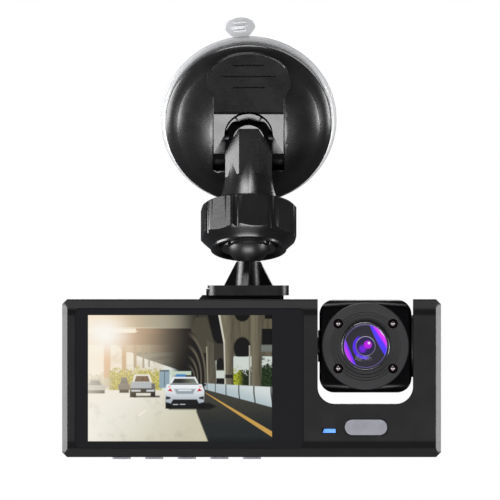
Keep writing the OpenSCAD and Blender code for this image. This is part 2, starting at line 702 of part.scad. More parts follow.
module speaker() color([0.1, 0.1, 0.1]) in_body_frame() translate([speaker_x, 0, speaker_z]) difference() {
    union() {
        rod_y(speaker_r, in_y - 3, in_y);
        rod_y(speaker_r - 2.5, in_y - 4.2, in_y - 2);
    }
    rotate([90, 0, 0]) translate([0, 0, -in_y - 0.1]) cylinder(h = 1.4, r1 = speaker_r - 1, r2 = 2);
}

module microphone() color([0.7, 0.65, 0.4]) in_body_frame() translate([pod_x + 11.5, 0, -board_z + 1.8])
    rod_y(1.8, board_back, board_back + 1.6);

// ---------- road camera ----------
module front_lens_bezel() color([0.12, 0.12, 0.13]) in_body_frame() rotate([-90, 0, 0]) rotate_extrude()
    polygon([[road_r + 0.1, road_tip - 3.4], [road_bump_d / 2 - 1.25, road_tip - 3.4],
        [road_bump_d / 2 - 1.25, road_tip - 1.6], [road_r + 0.6, road_tip - 1],
        [road_r + 0.1, road_tip - 1.4]]);

module front_lens_barrel() color([0.09, 0.09, 0.1]) in_body_frame() rotate([-90, 0, 0]) rotate_extrude()
    polygon([[2, 0], [road_r, 0], [road_r, road_tip - 1], [road_r - 0.5, road_tip - 0.5],
        [road_r - 1.2, road_tip - 0.5], [road_r - 1.2, road_tip - 2.4], [2.6, hd - 4], [2, hd - 4]]);

module front_lens_glass() color([0.1, 0.1, 0.25]) in_body_frame() rotate([-90, 0, 0]) rotate_extrude()
    polygon(lens_cap(road_r - 1.25, road_tip - 2.4, 2.4));

module front_sensor_board() color([0.05, 0.3, 0.16]) in_body_frame() {
    along_y(-1.1, 0) square([road_barrel_d + 2, road_barrel_d + 2], center = true);
    along_y(board_back, -1) square([8, 3], center = true);
}

// ---------- sockets and switches on the board ----------
module card_socket() color([0.75, 0.76, 0.78]) in_body_frame() difference() {
    translate([-in_x + 0.1, board_back, -card_w / 2 - 1.5]) cube([card_len - 0.5, 1.9, card_w + 3]);
    translate([-in_x - over, card_y - 0.15, -card_w / 2 - 0.2]) cube([card_len, card_t + 0.5, card_w + 0.4]);
}

module memory_card() color([0.08, 0.08, 0.09]) in_body_frame() {
    along_y(card_y, card_y + card_t) polygon([[-hw + 0.4, -card_w / 2], [card_len - hw - 1.4, -card_w / 2],
        [card_len - hw - 1.4, card_w / 2 - 1.6], [card_len - hw - 4, card_w / 2], [-hw + 0.4, card_w / 2]]);
}

module power_socket() color([0.78, 0.79, 0.8]) in_body_frame() translate([usb_x, edge_y, 0]) {
    difference() {
        along_z(in_z - 7.4, hh - 1) rounded_rect(usb_w, usb_t, 0.6);
        along_z(in_z - 6.6, hh) rounded_rect(usb_w - 0.8, usb_t - 0.8, 0.4);
    }
    translate([0, 0.2, in_z - 4]) cube([usb_w - 2.4, 0.7, 7], center = true);
    // solder feet down to the board
    translate([-usb_w / 2 + 0.5, -socket_lift, in_z - 7]) cube([usb_w - 1, socket_lift - usb_t / 2 + 0.1, 6]);
}

module video_socket() color([0.15, 0.15, 0.15]) in_body_frame() translate([jack_x, edge_y, 0]) difference() {
    union() {
        translate([0, 0, in_z - 6.1]) cube([6, 2 * socket_lift, 12], center = true);
        rod_z(1.8, in_z - 1, hh - 0.2);
    }
    rod_z(jack_bore_d / 2, in_z - 12 - over, hh + over);
}

module button_switches() color([0.6, 0.6, 0.62]) in_body_frame() for (i = [0:4])
    translate([menu_x0 + menu_pitch * i, 0, 0]) {
        translate([-2.2, board_back, switch_tip + 0.6]) cube([4.4, 3.4, 3]);
        translate([-1.2, menu_y - 0.7, switch_tip]) cube([2.4, 1.4, 1]);
    }

module power_switch() color([0.6, 0.6, 0.62]) in_body_frame() translate([power_x, 0, power_z]) {
    tip = -in_y + flange_t + button_travel + fit;
    along_y(tip + 0.5, board_front) square([6, 6], center = true);
    rod_y(1.6, tip, tip + 0.6);
}

module menu_button(i) color([0.46, 0.46, 0.47]) in_body_frame()
    translate([menu_x0 + menu_pitch * (i - 1), menu_y, 0]) {
        along_z(-hh - menu_proud, -in_z + 0.1) rounded_rect(menu_w, menu_d, 0.7);
        along_z(-in_z, -in_z + flange_t)
            square([menu_w + 2 * menu_flange, menu_d + 2 * menu_flange], center = true);
        along_z(-in_z + flange_t - 0.1, -in_z + flange_t + 0.1) square([2.4, 1.4], center = true);
    }

module power_button() color([0.58, 0.58, 0.62]) in_body_frame() translate([power_x, 0, power_z]) {
    along_y(-hd - power_proud, -in_y + 0.1) rounded_rect(power_w, power_h, power_h / 2 - 0.05);
    along_y(-in_y, -in_y + flange_t) square([power_w + 1.6, power_h + 1.6], center = true);
}

// a short bar with one slanting end
module light_outline() polygon([[-1.85, -0.55], [1.85, -0.55], [1.85, 0.4], [1.7, 0.55], [-1.35, 0.55]]);

module status_light() color([0.45, 0.65, 0.95]) in_body_frame() translate([light_x, 0, light_z])
    along_y(-hd - 0.02, board_front) light_outline();

// ---------- cabin camera ----------
module pod_blank() intersection() {
    along_y(-pod_d / 2, pod_d / 2) rounded_rect(pod_w, pod_h, pod_r);
    along_x(-pod_w / 2, pod_w / 2) rounded_rect(pod_d, pod_h, pod_lead);
    along_z(-pod_h / 2, pod_h / 2) rounded_rect(pod_w, pod_d, 1.2);
}

module pod_inside(y0, y1) along_y(y0, y1) difference() {
    rounded_rect(pod_w - 2 * pod_wall, pod_h - 2 * pod_wall, pod_r - pod_wall);
    for (p = pod_screw_spots) translate(p) circle(2.3);
}

module pod_cuts() {
    rod_x(2.2, -pod_w / 2 - over, pod_w / 2 + over);
    for (p = pod_screw_spots) translate([p[0], 0, p[1]]) rod_y(0.95, -pod_d / 2 + 3, pod_d / 2 + over);
}

module cabin_front_shell() color([0.07, 0.07, 0.08]) in_pod_frame() difference() {
    intersection() {
        pod_blank();
        along_y(-pod_d / 2, 0) square(2 * pod_h, center = true);
    }
    pod_inside(-pod_d / 2 + pod_wall, over);
    rod_y(face_ring_d / 2 + fit, -pod_d / 2 - over, -pod_d / 2 + 1);
    rod_y(face_ring_d / 2 - 0.9, -pod_d / 2, -pod_d / 2 + pod_wall + over);
    pod_cuts();
}

module cabin_rear_shell() color([0.09, 0.09, 0.1]) in_pod_frame() difference() {
    intersection() {
        pod_blank();
        along_y(0, pod_d / 2) square(2 * pod_h, center = true);
    }
    pod_inside(-over, pod_d / 2 - pod_wall);
    for (p = pod_screw_spots) translate([p[0], 0, p[1]]) rod_y(1.9, pod_d / 2 - 1.4, pod_d / 2 + over);
    pod_cuts();
}

module cabin_face_ring() color([0.22, 0.22, 0.23]) in_pod_frame() difference() {
    rotate([90, 0, 0]) rotate_extrude() polygon([[cabin_barrel_d / 2 + 0.1, pod_d / 2 - 1],
        [face_ring_d / 2, pod_d / 2 - 1], [face_ring_d / 2, pod_d / 2 + ring_proud - 0.3],
        [face_ring_d / 2 - 0.3, pod_d / 2 + ring_proud],
        [9.9, pod_d / 2 + ring_proud], [9.9, pod_d / 2 + 0.05],
        [9.1, pod_d / 2 + 0.05], [9.1, pod_d / 2 - 0.2], [8.2, pod_d / 2 - 0.2], [8.2, pod_d / 2 - 0.45],
        [cabin_barrel_d / 2 + 0.1, pod_d / 2 - 0.45]]);
    for (p = led_spots) translate([p[0], 0, p[1]]) rod_y(1.4, -pod_d / 2 - over, -pod_d / 2 + 2);
}

module cabin_lens_barrel() color([0.3, 0.3, 0.34]) in_pod_frame() rotate([90, 0, 0]) rotate_extrude()
    polygon([[1.6, 1.1], [cabin_barrel_d / 2, 1.1], [cabin_barrel_d / 2, pod_d / 2 + 0.7],
        [cabin_barrel_d / 2 - 0.2, pod_d / 2 + 0.9], [cabin_barrel_d / 2 - 0.65, pod_d / 2 + 0.9],
        [cabin_barrel_d / 2 - 0.65, pod_d / 2 - 0.6], [3.1, pod_d / 2 - 3.4], [2.75, pod_d / 2 - 3.4],
        [2.75, pod_d / 2 - 4.6], [1.6, pod_d / 2 - 4.6]]);

module cabin_lens_glass() color([0.2, 0.15, 0.4]) in_pod_frame() rotate([90, 0, 0]) rotate_extrude()
    polygon(lens_cap(cabin_barrel_d / 2 - 0.7, pod_d / 2 - 0.3, 1.9));

module cabin_inner_lens() color([0.3, 0.1, 0.4]) in_pod_frame() intersection() {
    rod_y(2.7, -pod_d / 2 + 2.9, -pod_d / 2 + 4.6);
    translate([0, -pod_d / 2 + 6.6, 0]) sphere(3.6);
}

module infrared_leds() color([0.12, 0.1, 0.16]) in_pod_frame() for (p = led_spots)
    translate([p[0], 0, p[1]]) {
        rod_y(1.25, -pod_d / 2 + 1.2, -pod_d / 2 + 2.9);
        translate([0, -pod_d / 2 + 1.2, 0]) intersection() {
            sphere(1.25);
            rod_y(1.25, -2, 0);
        }
    }

module infrared_board() color([0.05, 0.3, 0.16]) in_pod_frame() along_y(-pod_d / 2 + 2.9, -pod_d / 2 + 3.9)
    difference() {
        circle(infrared_board_r);
        circle(cabin_barrel_d / 2 + 0.15);
    }

module cabin_sensor_board() color([0.05, 0.3, 0.16]) in_pod_frame() {
    along_y(-1.1, 0) square(13, center = true);
    for (i = [-1, 1]) translate([0, 0, 7.9 * i]) along_y(-1.1, 0) square([4, 3], center = true);
}

// a pivot: thin disc on the pod's side, trunnion outward, clamped root inward; built for the +X side
module pivot(disc_r, trunnion_r, reach, bore_r) difference() {
    union() {
        rod_x(disc_r, 0, pivot_disc_t);
        rod_x(trunnion_r, 0, reach);
        rod_x(2.2, -pod_wall - 0.1, 0.1);
        rod_x(3.2, -pod_wall - 0.9, -pod_wall);
    }
    rod_x(bore_r, -pod_wall - 2, reach + over);
}

module cabin_pivot_left() color([0.8, 0.8, 0.82]) in_pod_frame()
    translate([-pod_w / 2, 0, 0]) mirror([1, 0, 0])
        pivot(4.55, left_trunnion_d / 2, pod_gap + case_wall + 0.65, 1.2);

module cabin_pivot_right() color([0.25, 0.25, 0.27]) in_pod_frame() translate([pod_w / 2, 0, 0])
    pivot(8.9, right_trunnion_d / 2, pod_gap + case_wall + 0.45, 1.1);

module pivot_washer() color([0.75, 0.75, 0.78]) in_pod_frame()
    translate([pod_w / 2 + pod_gap + case_wall + 0.45, 0, 0]) difference() {
        rod_x(4.2, 0, 0.4);
        rod_x(1.3, -over, over);
    }

module pivot_screw() color([0.6, 0.6, 0.62]) in_pod_frame()
    translate([pod_w / 2 + pod_gap + case_wall + 0.85, 0, 0]) difference() {
        union() {
            rod_x(1.1, -4, 0.1);
            rod_x(2.4, 0, 0.9);
        }
        along_x(0.5, 2) {
            square([2.6, 0.5], center = true);
            square([0.5, 2.6], center = true);
        }
    }

module cabin_screws() color([0.3, 0.3, 0.31]) in_pod_frame() for (p = pod_screw_spots)
    translate([p[0], 0, p[1]]) {
        rod_y(0.9, -pod_d / 2 + 4, pod_d / 2 - 1.3);
        rod_y(1.8, pod_d / 2 - 1.4, pod_d / 2 - 0.3);
    }

// lead from the sensor board out through the left trunnion
module cabin_lead() color([0.15, 0.15, 0.15]) in_pod_frame() {
    rod_x(0.9, -pod_w / 2 - pod_gap - case_wall - 0.6, -6.9);
    translate([-5.4, 0.7, 0]) cube([5, 1.4, 5], center = true);
}

suction_pad();
cup_housing();
pad_stem();
lever_pin();
cam_lever();
lock_nut();
ball_seat();
stud_ball();
stud_foot();
mount_rail();
front_bezel();
rear_cover();
screen_window();
screen_panel();
screen_tray();
screen_ribbon();
main_board();
board_chips();
board_screws();
case_screws();
battery();
speaker();
microphone();
front_lens_bezel();
front_lens_barrel();
front_lens_glass();
front_sensor_board();
card_socket();
memory_card();
power_socket();
video_socket();
button_switches();
power_switch();
menu_button(1);  // menu_button_1
menu_button(2);  // menu_button_2
menu_button(3);  // menu_button_3
menu_button(4);  // menu_button_4
menu_button(5);  // menu_button_5
power_button();
status_light();
cabin_front_shell();
cabin_rear_shell();
cabin_face_ring();
cabin_lens_barrel();
cabin_lens_glass();
cabin_inner_lens();
infrared_leds();
infrared_board();
cabin_sensor_board();
cabin_pivot_left();
cabin_pivot_right();
pivot_washer();
pivot_screw();
cabin_screws();
cabin_lead();
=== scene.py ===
import bpy, bmesh, json, math
from mathutils import Matrix, Vector


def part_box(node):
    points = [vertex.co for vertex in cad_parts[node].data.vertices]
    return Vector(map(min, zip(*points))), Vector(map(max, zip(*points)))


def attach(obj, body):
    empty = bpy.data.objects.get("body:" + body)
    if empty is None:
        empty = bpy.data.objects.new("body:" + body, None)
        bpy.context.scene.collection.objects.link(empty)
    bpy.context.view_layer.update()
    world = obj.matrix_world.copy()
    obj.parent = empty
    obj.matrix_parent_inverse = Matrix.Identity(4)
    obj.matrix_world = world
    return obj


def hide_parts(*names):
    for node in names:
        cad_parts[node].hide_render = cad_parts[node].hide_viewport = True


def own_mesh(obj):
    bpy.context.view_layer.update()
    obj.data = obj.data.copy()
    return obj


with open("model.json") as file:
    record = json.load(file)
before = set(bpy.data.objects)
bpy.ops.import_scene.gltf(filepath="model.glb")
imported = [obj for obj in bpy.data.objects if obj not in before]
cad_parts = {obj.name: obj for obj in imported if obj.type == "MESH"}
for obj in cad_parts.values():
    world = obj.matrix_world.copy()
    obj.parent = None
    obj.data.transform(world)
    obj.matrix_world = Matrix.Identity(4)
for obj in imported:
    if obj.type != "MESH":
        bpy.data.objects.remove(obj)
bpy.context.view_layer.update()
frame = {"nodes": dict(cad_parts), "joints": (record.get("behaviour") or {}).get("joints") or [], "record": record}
nodes = frame["nodes"]
joints = {j["name"]: j for j in frame["joints"]}
millimetre = 0.001

# places that the pieces below hang from
stemAxis = Vector(joints["stem_pull"]["axis"])
podCentre = Vector(joints["pod_tilt"]["pos_m"])
panelLow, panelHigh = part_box("screen_panel")
bezelLow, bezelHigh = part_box("front_bezel")
acrossAxis = Vector((1, 0, 0))
cupFrame = Matrix((acrossAxis, stemAxis.cross(acrossAxis), stemAxis)).transposed().to_4x4()


class Field:  # one shader value; the operators add Math nodes
    def __init__(self, board, socket):
        self.board, self.socket = board, socket

    def math(self, operation, *others):
        return self.board.add("ShaderNodeMath", {"operation": operation}, [self, *others])

    def __add__(self, other): return self.math("ADD", other)
    def __radd__(self, other): return self.math("ADD", other)
    def __sub__(self, other): return self.math("SUBTRACT", other)
    def __rsub__(self, other): return self.board.value(other).math("SUBTRACT", self)
    def __mul__(self, other): return self.math("MULTIPLY", other)
    def __rmul__(self, other): return self.math("MULTIPLY", other)
    def __truediv__(self, other): return self.math("DIVIDE", other)
    def __neg__(self): return self.math("MULTIPLY", -1.0)
    def __abs__(self): return self.math("ABSOLUTE")
    def power(self, exponent): return self.math("POWER", exponent)
    def root(self): return self.math("SQRT")
    def wave(self): return self.math("SINE")
    def least(self, other): return self.math("MINIMUM", other)
    def most(self, other): return self.math("MAXIMUM", other)
    def part(self): return self.math("FRACT")

    def ramp(self, start, end):  # 0 before start, 1 after end, smooth between
        low, high, flip = (start, end, False) if start < end else (end, start, True)
        found = self.board.add("ShaderNodeMapRange", {"interpolation_type": "SMOOTHSTEP"},
                               {"Value": self, "From Min": low, "From Max": high})
        return 1 - found if flip else found


class Board:  # the node tree of one material
    def __init__(self, name):
        self.material = bpy.data.materials.new(name)
        self.material.use_nodes = True
        self.tree = self.material.node_tree
        self.tree.nodes.clear()

    def add(self, kind, settings=None, values=(), out=0):
        node = self.tree.nodes.new(kind)
        for key, value in (settings or {}).items():
            setattr(node, key, value)
        for key, value in (values.items() if isinstance(values, dict) else enumerate(values)):
            if isinstance(value, Field):
                self.tree.links.new(value.socket, node.inputs[key])
            else:
                node.inputs[key].default_value = value
        return Field(self, node.outputs[out]) if node.outputs else None

    def value(self, number):
        node = self.tree.nodes.new("ShaderNodeValue")
        node.outputs[0].default_value = number
        return Field(self, node.outputs[0])

    def place(self, centre=(0, 0, 0), unit=millimetre):  # object coordinates from centre, in unit
        at = self.add("ShaderNodeTexCoord", out=3)
        moved = self.add("ShaderNodeVectorMath", {"operation": "SUBTRACT"}, [at, tuple(centre)])
        return self.add("ShaderNodeVectorMath", {"operation": "SCALE"}, {0: moved, "Scale": 1 / unit})

    def axes(self, vector):
        return [self.add("ShaderNodeSeparateXYZ", None, [vector], out=i) for i in range(3)]

    def noise(self, vector, scale, detail=2.0, rough=0.5):
        return self.add("ShaderNodeTexNoise", None,
                        {"Vector": vector, "Scale": scale, "Detail": detail, "Roughness": rough})

    def over(self, under, colour, mask):  # colour laid on under where mask is 1
        return self.add("ShaderNodeMix", {"data_type": "RGBA"}, {0: mask, 6: under, 7: colour}, out=2)

    def bump(self, height, depth, strength=1.0):
        return self.add("ShaderNodeBump", None, {"Strength": strength, "Distance": depth, "Height": height})

    def finish(self, values):
        shader = self.add("ShaderNodeBsdfPrincipled", None, values)
        self.add("ShaderNodeOutputMaterial", None, {"Surface": shader})
        return self.material


def rgb(red, green, blue):  # screen colour, 0 to 255, as linear light
    def linear(share):
        return share / 12.92 if share < 0.0404 else ((share + 0.055) / 1.055) ** 2.4
    return tuple(linear(c / 255) for c in (red, green, blue)) + (1,)


# moulded plastics: colour, gloss, size and depth of the tool's grain in millimetres, clear coat;
# shine and coatRough only where they differ from the usual
plastics = {
    "caseFront": {"colour": rgb(29, 29, 30), "rough": 0.5, "grain": 0.16, "depth": 0.005, "coat": 0.0,
                  "shine": 0.12, "coatRough": 0.25},
    "caseRear": {"colour": rgb(33, 33, 35), "rough": 0.5, "grain": 0.22, "depth": 0.012, "coat": 0.0},
    "mountBlack": {"colour": rgb(20, 20, 21), "rough": 0.27, "grain": 0.5, "depth": 0.0015, "coat": 0.0},
    "leverBlack": {"colour": rgb(8, 8, 9), "rough": 0.27, "grain": 0.3, "depth": 0.002, "coat": 0.0},
    "nutBlack": {"colour": rgb(17, 17, 18), "rough": 0.24, "grain": 0.5, "depth": 0.001, "coat": 0.0},
    "footBlack": {"colour": rgb(7, 7, 8), "rough": 0.38, "grain": 0.3, "depth": 0.003, "coat": 0.0},
    "podGloss": {"colour": rgb(3, 3, 4), "rough": 0.3, "grain": 1.5, "depth": 0.0005, "coat": 0.0,
                 "shine": 0.12},
    "ringSatin": {"colour": rgb(25, 25, 27), "rough": 0.52, "grain": 0.12, "depth": 0.003, "coat": 0.0},
    "seatNylon": {"colour": rgb(206, 202, 188), "rough": 0.4, "grain": 0.6, "depth": 0.006, "coat": 0.0},
    "chipBlack": {"colour": rgb(34, 34, 35), "rough": 0.55, "grain": 0.2, "depth": 0.01, "coat": 0.0},
    "switchGrey": {"colour": rgb(126, 126, 128), "rough": 0.45, "grain": 0.3, "depth": 0.008, "coat": 0.0},
    "pivotDark": {"colour": rgb(28, 28, 29), "rough": 0.35, "grain": 0.4, "depth": 0.004, "coat": 0.0},
    "leadBlack": {"colour": rgb(26, 26, 26), "rough": 0.5, "grain": 0.3, "depth": 0.01, "coat": 0.0},
    "ribbonAmber": {"colour": rgb(190, 122, 38), "rough": 0.3, "grain": 0.8, "depth": 0.002, "coat": 0.3},
}

# metals: colour, roughness, direction and size of the brushing
metals = {
    "brightSteel": {"colour": rgb(200, 201, 204), "rough": 0.28, "brush": (40, 40, 2)},
    "blackScrew": {"colour": rgb(62, 62, 65), "rough": 0.4, "brush": (6, 6, 6)},
    "barrelMetal": {"colour": rgb(92, 92, 98), "rough": 0.32, "brush": (2, 30, 2)},
    "cellFoil": {"colour": rgb(186, 189, 196), "rough": 0.36, "brush": (1.5, 1.5, 1.5)},
    "contactGold": {"colour": rgb(226, 188, 110), "rough": 0.25, "brush": (8, 8, 8)},
    "buttonSilver": {"colour": rgb(131, 131, 139), "rough": 0.45, "brush": (7, 7, 7)},
}


def lensRadius(x, z):
    return (x * x + z * z).root()


# the screen face in millimetres: painted shade bands in from its long edges, a painted highlight strip on the top
# bevel, painted shade on the low bevel, polished side bevels, painted shadow lines
caseFace = {
    "band": (4.9, 4.2), "topBevel": (3.1, 2.7), "topEdge": (0.3, 0.6),
    "lowBevel": (2.1, 1.7), "lowEdge": (0.4, 0.8),
    "sideBevel": (1.5, 1.35), "sideEnds": (1.0, 2.0), "sideCoat": 0.4,
    "shadows": {"power_button": {"half": (5.95, 2.0), "pill": True, "line": 0.42},
                "status_light": {"half": (1.85, 0.55), "pill": False, "line": 0.3}},
}
faceRing = {"circles": (8.2, 8.95, 9.7), "halfLine": 0.16, "halfCore": 0.04, "pointing": 0.35}  # radii


def shadeCase(board, tint):  # returns the face's colour and its coat
    face = caseFace
    x, y, z = board.axes(board.place((bezelLow + bezelHigh) / 2))
    halfW = (bezelHigh.x - bezelLow.x) / 2 / millimetre
    halfH = (bezelHigh.z - bezelLow.z) / 2 / millimetre

    def inward(value, half, ends):
        return value.ramp(half - ends[0], half - ends[1])

    # painted shade: darker bands in from the top and bottom edges
    tint = board.over(tint, rgb(8, 8, 9), inward(abs(z), halfH, face["band"]))
    # painted highlight: a paler strip along the top bevel
    topBevel = inward(z, halfH, face["topBevel"]) * inward(z, halfH, face["topEdge"])
    tint = board.over(tint, rgb(30, 30, 31), topBevel)
    # painted shade: a dark strip along the low bevel
    lowBevel = inward(-z, halfH, face["lowBevel"]) * inward(-z, halfH, face["lowEdge"])
    tint = board.over(tint, rgb(10, 10, 11), lowBevel)
    for node, shadow in face["shadows"].items():
        low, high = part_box(node)
        u, y, v = board.axes(board.place((low + high) / 2))
        halfU, halfV = shadow["half"]
        across = (abs(u) - (halfU - (halfV if shadow["pill"] else 0))).most(0.0)
        away = (across * across + v * v).root() - halfV if shadow["pill"] else across.most(abs(v) - halfV)
        tint = board.over(tint, rgb(1, 1, 2), away.ramp(shadow["line"], shadow["line"] - 0.12))
    polished = inward(abs(x), halfW, face["sideBevel"]) * inward(abs(z), halfH, face["sideEnds"])
    return tint, polished * face["sideCoat"]


def shadeRing(board, tint):  # fine moulded circles, a little pointed to the left and right
    x, y, z = board.axes(board.place(podCentre))
    radius = lensRadius(x, z)
    radius = radius - (abs(x) / radius.most(1.0)).power(14.0) * faceRing["pointing"]
    wide, core = faceRing["halfLine"], faceRing["halfCore"]
    for circle in faceRing["circles"]:
        line = radius.ramp(circle - wide, circle - core) * radius.ramp(circle + wide, circle + core)
        tint = board.over(tint, rgb(6, 6, 7), line * 0.8)
    return tint


def plasticMaterial(name, look):
    board = Board(name)
    at = board.place()
    grain = board.noise(at, 1 / look["grain"], 3.0)
    cloud = board.noise(at, 0.13, 3.0, 0.6)  # handling marks, centimetres across
    paler = tuple(c * 1.25 for c in look["colour"][:3]) + (1,)
    tint = board.over(look["colour"], paler, cloud.ramp(0.35, 0.75))
    coat = look["coat"]
    if name == "caseFront":
        tint, coat = shadeCase(board, tint)
    if name == "ringSatin":
        tint = shadeRing(board, tint)
    rough = look["rough"] + (cloud - 0.5) * 0.14 + (grain - 0.5) * 0.08
    return board.finish({"Base Color": tint, "Roughness": rough, "Coat Weight": coat,
                         "Coat Roughness": look.get("coatRough", 0.06),
                         "Specular IOR Level": look.get("shine", 0.5),
                         "Normal": board.bump(grain, look["depth"] * millimetre)})


def metalMaterial(name, look):
    board = Board(name)
    at = board.place()
    stretched = board.add("ShaderNodeVectorMath", {"operation": "MULTIPLY"}, [at, look["brush"]])
    lines = board.noise(stretched, 0.5, 4.0, 0.65)
    cloud = board.noise(at, 0.3, 2.0)
    duller = tuple(c * 0.72 for c in look["colour"][:3]) + (1,)
    tint = board.over(look["colour"], duller, cloud.ramp(0.3, 0.8) * 0.6)
    metallic = 0.0 if name == "buttonSilver" else 1.0  # the button is silver paint on plastic
    return board.finish({"Base Color": tint, "Metallic": metallic,
                         "Roughness": look["rough"] + (lines - 0.5) * 0.25,
                         "Normal": board.bump(lines, 0.004 * millimetre)})


def boardMaterial():
    board = Board("boardGreen")
    at = board.place()
    x, y, z = board.axes(at)
    tracks = abs((x * 0.9 + (z * 0.35).math("FLOOR") * 0.4).part() - 0.5).ramp(0.2, 0.26)
    speckle = board.noise(at, 1.4, 2.0).ramp(0.5, 0.56)
    colour = board.over(rgb(18, 84, 48), rgb(38, 118, 70), tracks * speckle)
    return board.finish({"Base Color": colour, "Roughness": 0.32,
                         "Normal": board.bump(tracks * speckle, 0.02 * millimetre)})


def vinylMaterial():  # soft clear pad: milky in depth, finely scuffed
    board = Board("padClear")
    at = board.place()
    scuff = board.noise(at, 0.6, 4.0, 0.6)
    colour = board.over(rgb(218, 219, 221), rgb(206, 207, 210), scuff.ramp(0.35, 0.7))
    # distance from the stem's axis: painted shade on the rim's edge, and a thin painted highlight line inside it
    along = board.add("ShaderNodeVectorMath", {"operation": "DOT_PRODUCT"}, [at, tuple(stemAxis)], out=1)
    full = board.add("ShaderNodeVectorMath", {"operation": "LENGTH"}, [at], out=1)
    radius = (full * full - along * along).most(0.0).root()
    edge = radius.ramp(24.9, 25.05) * radius.ramp(25.3, 25.2)
    line = radius.ramp(24.05, 24.2) * radius.ramp(24.45, 24.3)
    colour = board.over(colour, rgb(120, 121, 124), edge * 0.8)
    colour = board.over(colour, rgb(248, 248, 249), line)
    colour = board.over(colour, rgb(172, 173, 176), radius.ramp(25.3, 25.8))  # the tab is thicker
    return board.finish({"Base Color": colour, "Roughness": 0.22 + scuff * 0.16, "IOR": 1.46,
                         "Alpha": 0.72 + edge * 0.25, "Coat Weight": 0.4, "Coat Roughness": 0.12,
                         "Normal": board.bump(scuff, 0.01 * millimetre)})


def lightMaterial():
    board = Board("lightBlue")
    at = board.place()
    glow = board.over(rgb(78, 124, 196), rgb(118, 160, 224), board.noise(at, 0.8).ramp(0.35, 0.65))
    return board.finish({"Base Color": rgb(60, 110, 200), "Roughness": 0.25, "Emission Color": glow,
                         "Emission Strength": 0.9})


def windowMaterial():  # clear over the picture, printed black round it
    board = Board("windowGlass")
    centre = (panelLow + panelHigh) / 2
    x, y, z = board.axes(board.place(centre))
    halfW = (panelHigh.x - panelLow.x) / 2 / millimetre - 1.5
    halfH = (panelHigh.z - panelLow.z) / 2 / millimetre - 1.3
    clear = abs(x).ramp(halfW + 0.02, halfW - 0.06) * abs(z).ramp(halfH + 0.02, halfH - 0.06)
    haze = board.noise(board.place(), 0.25, 3.0)
    return board.finish({"Base Color": rgb(27, 27, 29), "Roughness": 0.07 + haze * 0.05,
                         "Alpha": 1 - clear * 0.97, "Specular IOR Level": 0.35})


def cabinGlassMaterial():  # coated glass, its reflections painted as glow: two slanting coloured reflections, painted highlights on the rim and on the seat of the inner lens, a painted violet reflection round the seat, and a faint painted grey glow over the rest
    board = Board("lensGlass")
    x, y, z = board.axes(board.place(podCentre))
    radius = lensRadius(x, z)
    disc = radius.ramp(6.2, 6.05)
    across = x * 0.894 + z * 0.448
    along = z * 0.894 - x * 0.448
    big = disc * (across - 3.35 - along * along * 0.012).ramp(0.0, 0.18)
    hue = board.over(rgb(92, 66, 214), rgb(84, 62, 250), across.ramp(3.4, 4.1))
    hue = board.over(hue, rgb(226, 56, 250), (across + along * 0.12).ramp(4.5, 5.4))
    glint = (across + along * 0.18).ramp(5.75, 6.2) * along.ramp(-1.2, 1.4)
    hue = board.over(hue, rgb(255, 246, 255), glint)
    hue = board.over(hue, rgb(76, 60, 240), along.ramp(-2.6, -4.2))
    lowSide = x * -0.922 - z * 0.389
    small = disc * (lowSide - 4.5).ramp(0.0, 0.16)
    lowAlong = z * 0.922 - x * 0.389
    low = board.over(rgb(96, 52, 236), rgb(196, 60, 246),
                     lowAlong.ramp(-4.2, -1.8) * lowSide.ramp(4.6, 5.6))
    low = board.over(low, rgb(140, 70, 246), lowAlong.ramp(1.0, 3.6))
    halo = lensRadius(x + 0.15, z + 0.2)
    bowl = halo.ramp(3.65, 3.45) * radius.ramp(2.75, 2.95) * (lowSide + 0.4).ramp(0.4, 1.9)
    thin = radius.ramp(2.62, 2.7) * radius.ramp(2.86, 2.78)
    edge = disc * radius.ramp(5.9, 6.08)
    glow = board.over(rgb(50, 48, 54), rgb(88, 46, 226), bowl)
    glow = board.over(glow, rgb(196, 188, 214), thin * (0.35 + z.ramp(0.5, 2.2) * 0.5))
    glow = board.over(glow, low, small)
    glow = board.over(glow, hue, big)
    glow = board.over(glow, rgb(150, 132, 216), edge * 0.6)
    alpha = (radius.ramp(2.55, 2.7) * 0.8 + 0.06 + big + small).least(1.0)
    return board.finish({"Base Color": rgb(16, 15, 20), "Roughness": 0.06, "Alpha": alpha,
                         "Emission Color": glow, "Emission Strength": 1.0, "Specular IOR Level": 0.06})


def cabinInnerMaterial():  # inner lens, painted as glow: a bright ball of light with a painted white highlight, and a fainter one beside it
    board = Board("lensViolet")
    x, y, z = board.axes(board.place(podCentre))
    ball = lensRadius(x - 0.65, z - 0.4).ramp(1.3, 0.95)
    shine = lensRadius(x - 1.0, z - 0.85).ramp(0.55, 0.1)
    blob = lensRadius(x + 0.85, z + 0.8).ramp(1.5, 0.5)
    glow = board.over(rgb(52, 44, 84), rgb(122, 40, 232), blob)
    glow = board.over(glow, rgb(196, 36, 238), ball)
    glow = board.over(glow, rgb(255, 236, 255), shine)
    return board.finish({"Base Color": rgb(24, 14, 40), "Roughness": 0.08, "Emission Color": glow,
                         "Emission Strength": 1.0, "Specular IOR Level": 0.1})


def roadGlassMaterial():
    board = Board("roadLensGlass")
    low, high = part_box("front_lens_glass")
    x, y, z = board.axes(board.place((low + high) / 2))
    across = x * -0.8 + z * 0.6
    sheen = board.over(rgb(14, 10, 30), rgb(70, 54, 190), across.ramp(1.0, 6.0))
    sheen = board.over(sheen, rgb(26, 96, 88), (-across).ramp(3.5, 7.0))
    return board.finish({"Base Color": sheen, "Roughness": 0.04, "Coat Weight": 1.0,
                         "Coat Roughness": 0.02})


